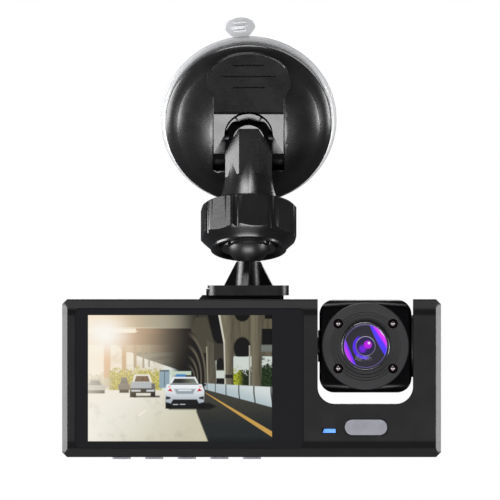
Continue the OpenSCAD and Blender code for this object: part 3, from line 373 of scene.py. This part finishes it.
def ledMaterial():
    board = Board("ledDark")
    x, y, z = board.axes(board.place(podCentre))
    sideX, sideZ = abs(x) - 7.8, abs(z) - 6.4
    # painted highlights: two small white glints glow on each LED
    paintedGlints = lensRadius(abs(sideX) - 0.3, sideZ).ramp(0.3, 0.16)
    glow = board.over(rgb(10, 4, 8), rgb(244, 236, 236), paintedGlints)
    return board.finish({"Base Color": rgb(20, 10, 16), "Roughness": 0.1, "Emission Color": glow,
                         "Emission Strength": 0.8})


# the picture on the screen, a road under a flyover: every place is a share of its width and of its height
def pictureMaterial():
    board = Board("display")
    centre = (panelLow + panelHigh) / 2
    x, y, z = board.axes(board.place(centre))
    width = (panelHigh.x - panelLow.x) / millimetre - 3
    height = (panelHigh.z - panelLow.z) / millimetre - 2.6
    wide = width / height
    a, b = x / width + 0.5, 0.5 - z / height
    spot = board.add("ShaderNodeCombineXYZ", None, [a * wide, b, 1.0])
    fine = board.noise(spot, 70, 3.0)
    leafy = board.noise(spot, 30, 4.0, 0.7)
    patchy = board.noise(spot, 8, 4.0, 0.6)
    streaky = board.add("ShaderNodeVectorMath", {"operation": "MULTIPLY"}, [spot, (60, 5, 1)])
    stains = board.noise(streaky, 1.0, 3.0)
    picture = [board.over(rgb(252, 246, 234), rgb(216, 228, 224), a.ramp(0.05, 0.6))]

    def poly(*points, blur=0.005):  # inside of a convex outline
        corners = [(pa * wide, pb) for pa, pb in points]
        middleU, middleV = (sum(c[i] for c in corners) / len(corners) for i in (0, 1))
        inside = None
        for (u0, v0), (u1, v1) in zip(corners, corners[1:] + corners[:1]):
            side = math.hypot(u1 - u0, v1 - v0)
            across, down = (v1 - v0) / side, (u0 - u1) / side
            flip = 1 if (middleU - u0) * across + (middleV - v0) * down > 0 else -1
            plane = (across * flip, down * flip, -(u0 * across + v0 * down) * flip)
            depth = board.add("ShaderNodeVectorMath", {"operation": "DOT_PRODUCT"}, [spot, plane],
                              out=1)
            inside = depth if inside is None else inside.least(depth)
        return inside.ramp(-blur, blur)

    def box(a0, a1, b0, b1, blur=0.005):
        return poly((a0, b0), (a1, b0), (a1, b1), (a0, b1), blur=blur)

    def disc(ca, cb, ra, rb, blur=0.1):
        u = (a - ca) / ra
        v = (b - cb) / rb
        return (u * u + v * v).root().ramp(1 + blur, 1 - blur)

    def fade(first, last, share):
        return board.over(rgb(*first), rgb(*last), share)

    def lay(colour, mask):
        picture[0] = board.over(picture[0], rgb(*colour) if isinstance(colour, tuple) else colour, mask)

    # haze and hedge on the left, then the decks overhead, nearest last
    lay((214, 204, 190), box(0.10, 0.42, 0.25, 0.52, 0.02) * patchy.ramp(0.42, 0.62) * 0.7)
    ribs = (b * 110 + a * 20).wave().ramp(-0.6, 0.9) * 0.35
    under = board.over(fade((168, 166, 150), (40, 46, 44), a.ramp(0.22, 0.50)), rgb(38, 38, 35), ribs)
    lay(under, poly((0.17, 0.22), (0.62, 0.22), (0.62, 0.50), (0.56, 0.47), (0.46, 0.435), (0.30, 0.36)))
    lay(fade((222, 200, 170), (34, 32, 29), a.ramp(0.12, 0.47)),
        poly((0.15, 0.232), (0.58, 0.232), (0.58, 0.295), (0.20, 0.295)))
    lay(fade((226, 176, 138), (34, 29, 27), a.ramp(0.02, 0.46)), box(-0.05, 0.60, 0.138, 0.236))
    lay(fade((150, 112, 88), (38, 30, 27), a.ramp(0.26, 0.46)), box(0.26, 0.62, 0.09, 0.15))
    lay((255, 248, 230),
        poly((-0.05, 0.106), (0.245, 0.116), (0.272, 0.128), (0.25, 0.140), (-0.05, 0.140)))
    girder = board.over(fade((246, 212, 178), (150, 146, 128), a.ramp(0.0, 0.34)), rgb(34, 32, 28),
                        a.ramp(0.40, 0.62))
    lay(girder, box(-0.05, 0.66, -0.05, 0.106))
    lay((236, 226, 206), box(0.02, 0.45, 0.096, 0.104, 0.004) * a.ramp(0.45, 0.2) * 0.7)

    # dark vault with its ribs, and the gap beside it
    lay((58, 55, 46), box(0.60, 1.03, -0.03, 0.335))
    lay((74, 70, 57),
        poly((0.585, 0.02), (0.645, 0.02), (0.69, 0.24), (0.67, 0.56), (0.58, 0.56), (0.56, 0.10)))
    lay((25, 23, 21), disc(0.52, 0.50, 0.122, 0.39, 0.03) * a.ramp(0.44, 0.50))
    lay((25, 23, 21), box(0.53, 0.645, 0.30, 0.56))
    for ribA, ribB, wideA in ((0.118, 0.375, 0.010), (0.094, 0.275, 0.008), (0.074, 0.19, 0.007),
                              (0.058, 0.12, 0.006)):
        hollow = disc(0.525, 0.505, ribA - wideA, ribB - wideA * 3, 0.03)
        rib = disc(0.525, 0.50, ribA, ribB, 0.03) * (1 - hollow)
        lay((104, 98, 82), rib * a.ramp(0.535, 0.59) * 0.8)
    lay((13, 12, 11), poly((0.645, -0.03), (0.714, -0.03), (0.735, 0.235), (0.712, 0.245), (0.680, 0.19)))
    # pillars on the right, their arches and what shows between them
    stained = stains.ramp(0.35, 0.7) * 0.5
    lay(fade((96, 91, 76), (54, 51, 43), stained),
        poly((0.645, 0.20), (0.690, 0.235), (0.70, 0.56), (0.65, 0.56)))
    lay((152, 147, 128), poly((0.641, 0.25), (0.648, 0.25), (0.654, 0.545), (0.647, 0.545), blur=0.003))
    lay((60, 57, 48), box(0.684, 0.742, 0.225, 0.36))
    lay((206, 214, 206), box(0.697, 0.742, 0.43, 0.53))
    lay((60, 57, 48), box(0.697, 0.742, 0.33, 0.44))
    lay((18, 17, 15),
        disc(0.720, 0.405, 0.022, 0.065) * b.ramp(0.435, 0.425) + box(0.697, 0.742, 0.50, 0.56))
    lay((206, 214, 208), box(0.79, 1.03, 0.325, 0.565))
    hedge = board.over(fade((168, 176, 44), (22, 30, 14), a.ramp(0.80, 0.85)), rgb(44, 56, 18),
                       fine.ramp(0.5, 0.62) * 0.8)
    lay(hedge, box(0.785, 0.89, 0.40, 0.57) * (leafy + (b - 0.45) * 3).ramp(0.40, 0.52))
    lay(fade((40, 64, 28), (14, 26, 12), fine.ramp(0.4, 0.6)),
        box(0.93, 1.03, 0.30, 0.57) * (leafy + (b - 0.40) * 2).ramp(0.42, 0.52))
    lay(fade((100, 94, 76), (64, 60, 48), stained), box(0.78, 1.03, -0.03, 0.326))
    lay((15, 14, 13),
        disc(0.838, -0.015, 0.043, 0.066) + disc(0.838, 0.262, 0.047, 0.088) * b.ramp(0.335, 0.325))
    lay((166, 164, 148), box(0.874, 0.882, 0.24, 0.56, 0.003))
    beam = fade((126, 119, 99), (66, 62, 50), (a - 0.745).ramp(0.0, 0.045) * 0.7 + stained * 0.6)
    lay(beam, poly((0.712, -0.03), (0.79, -0.03), (0.79, 0.30), (0.743, 0.22)))
    lay(beam, box(0.743, 0.79, 0.20, 0.567))
    lay((208, 206, 190), poly((0.704, -0.03), (0.715, -0.03), (0.745, 0.22), (0.736, 0.22), blur=0.003))
    lay((196, 194, 178), poly((0.736, 0.22), (0.744, 0.22), (0.749, 0.555), (0.742, 0.555), blur=0.003))
    lay(fade((122, 115, 95), (64, 60, 48), (a - 0.90).ramp(0.0, 0.04) * 0.6 + stained * 0.7),
        poly((0.886, -0.03), (0.955, -0.03), (0.94, 0.575), (0.888, 0.57)))
    lay((34, 32, 30), box(0.745, 0.788, 0.472, 0.50))
    lay((10, 10, 10), box(0.944, 1.03, 0.108, 0.236) + box(0.96, 1.03, -0.03, 0.03))
    lay((112, 117, 112), box(0.940, 1.03, 0.238, 0.29, 0.008))

    # left side: pillars against the light, then bushes
    sunlit = ((0.086, 0.122, 0.50, (222, 178, 142)), (0.184, 0.208, 0.44, (196, 160, 128)),
              (0.248, 0.264, 0.42, (170, 152, 128)), (0.296, 0.306, 0.42, (150, 142, 122)),
              (0.328, 0.336, 0.41, (140, 138, 122)))
    for left, right, low, tone in sunlit:
        lay(tone, box(left, right, 0.235, low, 0.006))
    green = fade((150, 150, 66), (226, 212, 120), fine.ramp(0.35, 0.68))
    lay(green, box(0.115, 0.40, 0.36, 0.60, 0.015) * (leafy + (b - 0.43) * 3.0).ramp(0.44, 0.58))
    lay((200, 190, 160),
        box(-0.03, 0.13, 0.44, 0.58, 0.02) * (leafy + (b - 0.48) * 3.0).ramp(0.42, 0.60) * 0.8)

    # road, its shadow, lines and barrier
    road = board.over(fade((244, 241, 230), (206, 202, 178), (a * 0.9 + b * 0.5).ramp(0.4, 1.0)),
                      rgb(158, 155, 136), patchy.ramp(0.5, 0.8) * 0.45)
    lay(road, b.ramp(0.590, 0.602))
    lay((246, 240, 222), poly((0.268, 0.795), (0.284, 0.795), (0.318, 0.755), (0.305, 0.755), blur=0.003))
    asphalt = board.over(fade((64, 63, 55), (36, 40, 40), b.ramp(0.64, 0.9)), rgb(26, 28, 28),
                         fine.ramp(0.5, 0.7) * 0.4)
    lay(asphalt,
        poly((0.60, 0.575), (1.03, 0.575), (1.03, 1.03), (0.659, 1.03), (0.588, 0.765), blur=0.008))
    lay((200, 158, 80), poly((0.638, 0.617), (0.644, 0.617), (1.03, 0.948), (1.03, 0.995), blur=0.004))
    seams = ((a - 0.60 - (b - 0.60).ramp(0.0, 0.12) * 0.008).power(0.55) * 76).wave().ramp(0.93, 0.995)
    barrier = fade((214, 221, 220), (178, 194, 198), (b * 2 - a).ramp(0.2, 0.5))
    lay(board.over(barrier, rgb(70, 76, 78), seams),
        poly((0.634, 0.540), (1.03, 0.573), (1.03, 0.742), (0.634, 0.588)))

    # traffic, farthest first
    lay((196, 214, 196), box(0.44, 0.56, 0.445, 0.475))
    lay((140, 166, 180), box(0.388, 0.443, 0.435, 0.578))
    lay((70, 96, 112), box(0.392, 0.440, 0.435, 0.448, 0.004) + box(0.414, 0.418, 0.45, 0.56, 0.002))
    lay((66, 132, 190), box(0.478, 0.53, 0.468, 0.492))
    for left, right, top, low, tone in ((-0.02, 0.097, 0.505, 0.615, (196, 195, 188)),
                                        (0.165, 0.228, 0.492, 0.61, (128, 124, 118))):
        middle, half = (left + right) / 2, (right - left) / 2
        lay((58, 56, 50), box(left + 0.006, right - 0.006, low - 0.03, low + 0.006))
        lay(tone, poly((left, top + 0.06), (left + 0.02, top + 0.045), (right - 0.02, top + 0.045),
                       (right, top + 0.06), (right, low - 0.02), (left, low - 0.02)))
        lay(tone, poly((middle - half * 0.45, top), (middle + half * 0.45, top),
                       (middle + half * 0.75, top + 0.06), (middle - half * 0.75, top + 0.06)))
        lay((104, 108, 108), poly((middle - half * 0.38, top + 0.012), (middle + half * 0.38, top + 0.012),
                                  (middle + half * 0.6, top + 0.05), (middle - half * 0.6, top + 0.05)))
    # pickup
    lay((60, 56, 50), box(0.25, 0.39, 0.638, 0.652, 0.008))
    lay((24, 24, 24), box(0.228, 0.262, 0.60, 0.652) + box(0.340, 0.366, 0.60, 0.648))
    lay((40, 38, 37), box(0.230, 0.364, 0.575, 0.618))
    lay((238, 236, 228), poly((0.252, 0.47), (0.335, 0.47), (0.350, 0.54), (0.240, 0.54)))
    lay(fade((120, 82, 60), (62, 44, 36), fine.ramp(0.35, 0.6)),
        poly((0.262, 0.482), (0.326, 0.482), (0.336, 0.528), (0.252, 0.528)))
    lay((176, 184, 190), box(0.232, 0.345, 0.530, 0.580))
    lay((96, 100, 104), box(0.345, 0.364, 0.540, 0.600))
    lay((208, 212, 214), box(0.236, 0.285, 0.592, 0.606) + box(0.318, 0.36, 0.592, 0.606))
    # white saloon
    lay((16, 17, 16),
        poly((0.425, 0.705), (0.66, 0.695), (0.70, 0.725), (0.66, 0.748), (0.44, 0.748), blur=0.010))
    lay((12, 12, 12), box(0.421, 0.452, 0.66, 0.742) + box(0.603, 0.632, 0.66, 0.735))
    body = fade((238, 244, 247), (168, 178, 186), b.ramp(0.56, 0.71))
    lay(body, poly((0.428, 0.548), (0.618, 0.548), (0.632, 0.60), (0.630, 0.688), (0.595, 0.702),
                   (0.455, 0.702), (0.421, 0.688), (0.420, 0.60)))
    lay((236, 240, 243), poly((0.463, 0.490), (0.583, 0.490), (0.604, 0.552), (0.440, 0.552)))
    lay(fade((48, 50, 46), (112, 118, 104), (a - 0.50).ramp(0.0, 0.08)),
        poly((0.470, 0.503), (0.577, 0.503), (0.592, 0.541), (0.455, 0.541)))
    lay((24, 24, 24), box(0.446, 0.600, 0.543, 0.551, 0.003))
    lay((150, 160, 168), poly((0.468, 0.585), (0.585, 0.585), (0.570, 0.625), (0.482, 0.625), blur=0.010))
    lay((226, 232, 236), box(0.490, 0.562, 0.590, 0.602, 0.004))
    mid = 0.526  # the saloon's middle: lamps and reflectors on both sides of it
    for side in (-1, 1):
        def spots(*points):
            return [(mid + side * out, down) for out, down in points]

        lay((196, 34, 34), poly(*spots((0.096, 0.560), (0.060, 0.553), (0.078, 0.578), (0.066, 0.606),
                                       (0.095, 0.600)), blur=0.004))
        lay((255, 120, 110), poly(*spots((0.092, 0.566), (0.074, 0.560), (0.086, 0.575)), blur=0.003))
        lay((40, 42, 44), poly(*spots((0.103, 0.642), (0.078, 0.650), (0.078, 0.664), (0.103, 0.670))))
    lay((20, 22, 23), poly((0.462, 0.668), (0.592, 0.668), (0.606, 0.708), (0.447, 0.708)))
    lay((176, 182, 186), box(0.462, 0.490, 0.704, 0.712, 0.002) + box(0.500, 0.528, 0.703, 0.711, 0.002))
    lay((30, 30, 30), box(0.622, 0.642, 0.545, 0.560))
    # low sun through the first gap, and its veil over the left side
    lay((255, 232, 196), disc(0.088, 0.145, 0.25, 0.36, 0.95) * 0.55)
    lay((255, 252, 244), disc(0.088, 0.150, 0.10, 0.12, 0.95))
    lay((255, 248, 234), a.ramp(0.14, -0.04) * 0.5)
    return board.finish({"Base Color": rgb(4, 4, 5), "Roughness": 0.6, "Emission Color": picture[0],
                         "Emission Strength": 1.0, "Specular IOR Level": 0.1})


materials = {name: plasticMaterial(name, look) for name, look in plastics.items()}
materials.update({name: metalMaterial(name, look) for name, look in metals.items()})
materials.update({
    "boardGreen": boardMaterial(), "padClear": vinylMaterial(), "lightBlue": lightMaterial(),
    "windowGlass": windowMaterial(), "lensGlass": cabinGlassMaterial(), "lensViolet": cabinInnerMaterial(),
    "roadGlass": roadGlassMaterial(), "ledDark": ledMaterial(), "display": pictureMaterial(),
})
print("materials", len(materials))

# which finish each record slot wears, and the rounding of its moulded edges in millimetres
finishes = {
    "mount_black": ("mountBlack", 0.3), "lever_black": ("leverBlack", 0.35), "nut_black": ("nutBlack", 0.3),
    "seat_nylon": ("seatNylon", 0.15), "foot_black": ("footBlack", 0.22),
    "bright_steel": ("brightSteel", 0.06), "black_screw": ("blackScrew", 0.06),
    "case_front_black": ("caseFront", 0.2), "case_rear_black": ("caseRear", 0.2),
    "window_glass": ("windowGlass", 0.08), "display": ("display", 0.0),
    "ribbon_amber": ("ribbonAmber", 0.0), "board_green": ("boardGreen", 0.05),
    "chip_black": ("chipBlack", 0.06), "cell_foil": ("cellFoil", 0.5),
    "contact_gold": ("contactGold", 0.08),
    "switch_grey": ("switchGrey", 0.1), "button_silver": ("buttonSilver", 0.12),
    "light_blue": ("lightBlue", 0.05), "pod_gloss_black": ("podGloss", 0.3),
    "ring_black": ("ringSatin", 0.06), "barrel_metal": ("barrelMetal", 0.08),
    "lens_glass": ("lensGlass", 0.0), "lens_violet": ("lensViolet", 0.0), "led_dark": ("ledDark", 0.0),
    "pivot_white": ("pivotDark", 0.08), "lead_black": ("leadBlack", 0.0), "pad_clear": ("padClear", 0.0),
}


edges = {"weld": 0.002, "segments": 2, "sharperThan": 32}  # millimetres, and degrees


def softenEdges(piece, radius):
    weld = piece.modifiers.new("weld", "WELD")
    weld.merge_threshold = edges["weld"] * millimetre
    bevel = piece.modifiers.new("edges", "BEVEL")
    bevel.width = radius * millimetre
    bevel.segments = edges["segments"]
    bevel.limit_method = "ANGLE"
    bevel.angle_limit = math.radians(edges["sharperThan"])
    bevel.use_clamp_overlap = True
    bevel.harden_normals = False


slotOf = {part["node"]: part["material_slot"] for part in frame["record"]["subparts"]}
for name, piece in nodes.items():
    material, radius = finishes[slotOf[name]]
    if name == "front_lens_glass":
        material = "roadGlass"
    piece.data.materials.clear()
    piece.data.materials.append(materials[material])
    if radius:
        softenEdges(piece, radius)
print("frame dressed", len(nodes))


# suction pad: one soft moulding turned about the stem; millimetres out from it and up from the glass
pad = {
    "segments": 128, "crown": 2.45, "crownStart": 4, "crownRun": 10.5,
    "inside": (0, 3, 5, 7, 9, 11, 13, 14.5),
    "rim": [(18, 0.0), (24.6, 0.0), (25.05, 0.12), (25.15, 0.42), (25.15, 0.8), (24.95, 1.0), (24.4, 1.1)],
    "outside": [(19, 1.3), (14, 1.65), (10.5, 2.55), (8, 3.6), (7.2, 4.0), (6.6, 4.1), (0, 4.1)],
}


def addMesh(name, build, material, smooth=True):
    mesh = bpy.data.meshes.new(name)
    shape = bmesh.new()
    build(shape)
    bmesh.ops.remove_doubles(shape, verts=shape.verts, dist=1e-7)
    bmesh.ops.recalc_face_normals(shape, faces=shape.faces)
    shape.to_mesh(mesh)
    shape.free()
    for face in mesh.polygons:
        face.use_smooth = smooth
    piece = bpy.data.objects.new(name, mesh)
    bpy.context.scene.collection.objects.link(piece)
    mesh.materials.append(materials[material])
    return piece


def turned(shape, profile, segments, matrix):  # closed profile of (radius, height) in millimetres
    rings = []
    for i in range(segments):
        turn = 2 * math.pi * i / segments
        places = [Vector((r * math.cos(turn), r * math.sin(turn), h)) for r, h in profile]
        rings.append([shape.verts.new(matrix @ place * millimetre) for place in places])
    count = len(profile)
    for i in range(segments):
        here, after = rings[i], rings[(i + 1) % segments]
        for j in range(count):
            k = (j + 1) % count
            if profile[j][0] == 0 and profile[k][0] == 0:
                continue
            corners = [here[j], here[k], after[k], after[j]]
            if profile[j][0] == 0:
                corners = [here[j], here[k], after[k]]
            if profile[k][0] == 0:
                corners = [here[j], here[k], after[j]]
            shape.faces.new(corners)


def buildPad(shape):
    inner = []
    for r in pad["inside"]:
        share = min(1, max(0, (r - pad["crownStart"]) / pad["crownRun"]))
        inner.append((r, pad["crown"] * (0.5 + 0.5 * math.cos(math.pi * share))))
    turned(shape, inner + pad["rim"] + pad["outside"], pad["segments"], cupFrame)


padPiece = addMesh("suction_pad_skin", buildPad, "padClear")


tab = {
    "lean": 5,  # degrees to the left
    "halfWidth": 4.33, "halfHeight": 2.75, "middle": 28.1, "neck": 2.35, "neckFoot": 24.6, "neckTop": 25.1,
    "from": -22, "sweep": 224, "steps": 40,  # degrees of the oval that show above the neck
    "levels": ((0.1, 0.97), (0.25, 1.0), (0.75, 1.0), (0.93, 0.95)),  # height, and outline's share
    "growFrom": 29,
}
tabTurn = Matrix.Rotation(math.radians(tab["lean"]), 4, "Z")


def tabOutline():  # a fat oval cut off where it meets the rim
    points = []
    for i in range(tab["steps"] + 1):
        turn = math.radians(tab["from"] + tab["sweep"] * i / tab["steps"])
        points.append((tab["halfWidth"] * math.cos(turn),
                       tab["middle"] + tab["halfHeight"] * math.sin(turn)))
    neck, foot, top = tab["neck"], tab["neckFoot"], tab["neckTop"]
    return [(neck, foot), (neck, top)] + points + [(-neck, top), (-neck, foot)]


def buildTab(shape):
    outline = tabOutline()
    middle = tab["growFrom"]
    rings = []
    for height, grow in tab["levels"]:
        ring = []
        for x, v in outline:
            point = Vector((x * grow, (v - middle) * grow + middle if v > tab["neckFoot"] else v, height))
            ring.append(shape.verts.new(cupFrame @ (tabTurn @ point) * millimetre))
        rings.append(ring)
    count = len(outline)
    for low, high in zip(rings, rings[1:]):
        for i in range(count):
            k = (i + 1) % count
            shape.faces.new([low[i], low[k], high[k], high[i]])
    shape.faces.new(rings[0][::-1])
    shape.faces.new(rings[-1])


tabPiece = addMesh("suction_pad_tab", buildTab, "padClear")


# raised bars across the tab: how many, their pitch, length and width in millimetres
ridges = {"Count": 3, "Pitch": 1.25, "Length": 3.4, "Width": 0.42}
ridgesFirst, ridgesHeight = 27.1, 1.05  # lowest bar's middle, out from the stem and up from the glass


def ridgeNodes():
    tree = bpy.data.node_groups.new("tabRidges", "GeometryNodeTree")
    for name in ridges:
        kind = "NodeSocketInt" if name == "Count" else "NodeSocketFloat"
        tree.interface.new_socket(name, in_out="INPUT", socket_type=kind)
    tree.interface.new_socket("Geometry", in_out="OUTPUT", socket_type="NodeSocketGeometry")
    add, link = tree.nodes.new, tree.links.new
    given, out = add("NodeGroupInput"), add("NodeGroupOutput")
    step, size = add("ShaderNodeCombineXYZ"), add("ShaderNodeCombineXYZ")
    line, bar = add("GeometryNodeMeshLine"), add("GeometryNodeMeshCube")
    spread, real = add("GeometryNodeInstanceOnPoints"), add("GeometryNodeRealizeInstances")
    dress = add("GeometryNodeSetMaterial")
    dress.inputs["Material"].default_value = materials["padClear"]
    link(given.outputs["Pitch"], step.inputs["Y"])
    for name, axis in (("Length", "X"), ("Width", "Y"), ("Width", "Z")):
        link(given.outputs[name], size.inputs[axis])
    link(size.outputs[0], bar.inputs["Size"])
    link(given.outputs["Count"], line.inputs["Count"])
    link(step.outputs[0], line.inputs["Offset"])
    link(line.outputs[0], spread.inputs["Points"])
    link(bar.outputs["Mesh"], spread.inputs["Instance"])
    link(spread.outputs[0], real.inputs[0])
    link(real.outputs[0], dress.inputs["Geometry"])
    link(dress.outputs[0], out.inputs[0])
    return tree


def realRidges():  # the node tree's result as a plain mesh
    ladder = addMesh("ridge_ladder", lambda shape: None, "padClear")
    grow = ladder.modifiers.new("ladder", "NODES")
    grow.node_group = ridgeNodes()
    for item in grow.node_group.interface.items_tree:
        if item.in_out == "INPUT":
            grow[item.identifier] = ridges[item.name] * (1 if item.name == "Count" else millimetre)
    bpy.context.view_layer.update()
    mesh = bpy.data.meshes.new_from_object(ladder.evaluated_get(bpy.context.evaluated_depsgraph_get()))
    bpy.data.objects.remove(ladder)
    return mesh


ridgeMesh = realRidges()
lift = Matrix.Translation(Vector((0, ridgesFirst, ridgesHeight)) * millimetre)
ridgeMesh.transform(cupFrame @ tabTurn @ lift)
ridgePiece = bpy.data.objects.new("suction_pad_tab_ridges", ridgeMesh)
bpy.context.scene.collection.objects.link(ridgePiece)
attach(ridgePiece, "cup_base")
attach(tabPiece, "cup_base")
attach(padPiece, "cup_base")
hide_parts("suction_pad")
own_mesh(padPiece)
print("pad made")

# floor, light and camera, metres
studio = {"distance": 6.0, "frameWidth": 0.1425, "lookX": 0.0004, "lookZ": -0.0376}
ground = {"z": -0.104, "radius": 0.5, "corners": 64, "fade": (0.10, 0.42), "glow": 0.55}


def floorMaterial():
    board = Board("floorPale")
    at = board.place(unit=1.0)
    x, y, z = board.axes(at)
    tone = board.over(rgb(252, 252, 252), rgb(246, 246, 247), board.noise(at, 3.0).ramp(0.4, 0.7))
    diffuse = board.add("ShaderNodeBsdfPrincipled", None, {
        "Base Color": tone, "Roughness": 0.9, "Specular IOR Level": 0.1,
        "Emission Color": (1.0, 1.0, 1.0, 1.0), "Emission Strength": ground["glow"]})
    clear = board.add("ShaderNodeBsdfTransparent")
    fade = (x * x + y * y).root().ramp(*ground["fade"])
    mixed = board.add("ShaderNodeMixShader", None, [fade, diffuse, clear])
    board.add("ShaderNodeOutputMaterial", None, {"Surface": mixed})
    return board.material


materials["floorPale"] = floorMaterial()


def buildFloor(shape):
    rim = []
    for i in range(ground["corners"]):
        turn = 2 * math.pi * i / ground["corners"]
        rim.append(shape.verts.new((ground["radius"] * math.cos(turn), ground["radius"] * math.sin(turn),
                                    ground["z"])))
    shape.faces.new(rim)


floor = addMesh("floor", buildFloor, "floorPale", smooth=False)
floor.visible_shadow = floor.visible_glossy = floor.visible_diffuse = False  # the low box shines through it

# soft boxes: place, size and power
lamps = {
    "lowFront": {"at": (-0.04, -0.63, -0.52), "size": (0.62, 0.22), "power": 6.5},
    "above": {"at": (-0.10, -0.36, 0.76), "size": (0.62, 0.26), "power": 7.5},
    "leftBox": {"at": (-0.85, -0.03, -0.04), "size": (0.58, 0.62), "power": 16.0},
    "rightStrip": {"at": (0.78, -0.16, -0.12), "size": (0.16, 0.40), "power": 4.5},
    "behind": {"at": (0.15, 0.75, 0.35), "size": (0.8, 0.6), "power": 5.0},
}
aim = Vector((0, -0.02, -0.03))
for name, lamp in lamps.items():
    data = bpy.data.lights.new(name, "AREA")
    data.shape = "RECTANGLE"
    data.size, data.size_y = lamp["size"]
    data.energy = lamp["power"]
    light = bpy.data.objects.new(name, data)
    light.location = lamp["at"]
    light.visible_camera = False
    light.rotation_euler = (aim - Vector(lamp["at"])).to_track_quat("-Z", "Y").to_euler()
    bpy.context.scene.collection.objects.link(light)

world = bpy.data.worlds.new("studio")
world.use_nodes = True
skyNodes, skyLinks = world.node_tree.nodes, world.node_tree.links
skyNodes.clear()
seen = skyNodes.new("ShaderNodeBackground")
seen.inputs["Color"].default_value = (1, 1, 1, 1)
reflected = skyNodes.new("ShaderNodeBackground")
reflected.inputs["Color"].default_value = (0.92, 0.95, 1, 1)
reflected.inputs["Strength"].default_value = 0.07
path = skyNodes.new("ShaderNodeLightPath")
choose = skyNodes.new("ShaderNodeMixShader")
skyOut = skyNodes.new("ShaderNodeOutputWorld")
skyLinks.new(path.outputs["Is Camera Ray"], choose.inputs[0])
skyLinks.new(reflected.outputs[0], choose.inputs[1])
skyLinks.new(seen.outputs[0], choose.inputs[2])
skyLinks.new(choose.outputs[0], skyOut.inputs[0])
bpy.context.scene.world = world
bpy.context.scene.view_settings.view_transform = "Standard"

cameraData = bpy.data.cameras.new("camera")
cameraData.sensor_width = 36
cameraData.lens = 36 * studio["distance"] / studio["frameWidth"]
cameraData.clip_start, cameraData.clip_end = 0.1, 30
camera = bpy.data.objects.new("camera", cameraData)
camera.location = (studio["lookX"], bezelLow.y - studio["distance"], studio["lookZ"])
camera.rotation_euler = (math.radians(90), 0, 0)
bpy.context.scene.collection.objects.link(camera)
bpy.context.scene.camera = camera
print("studio ready")
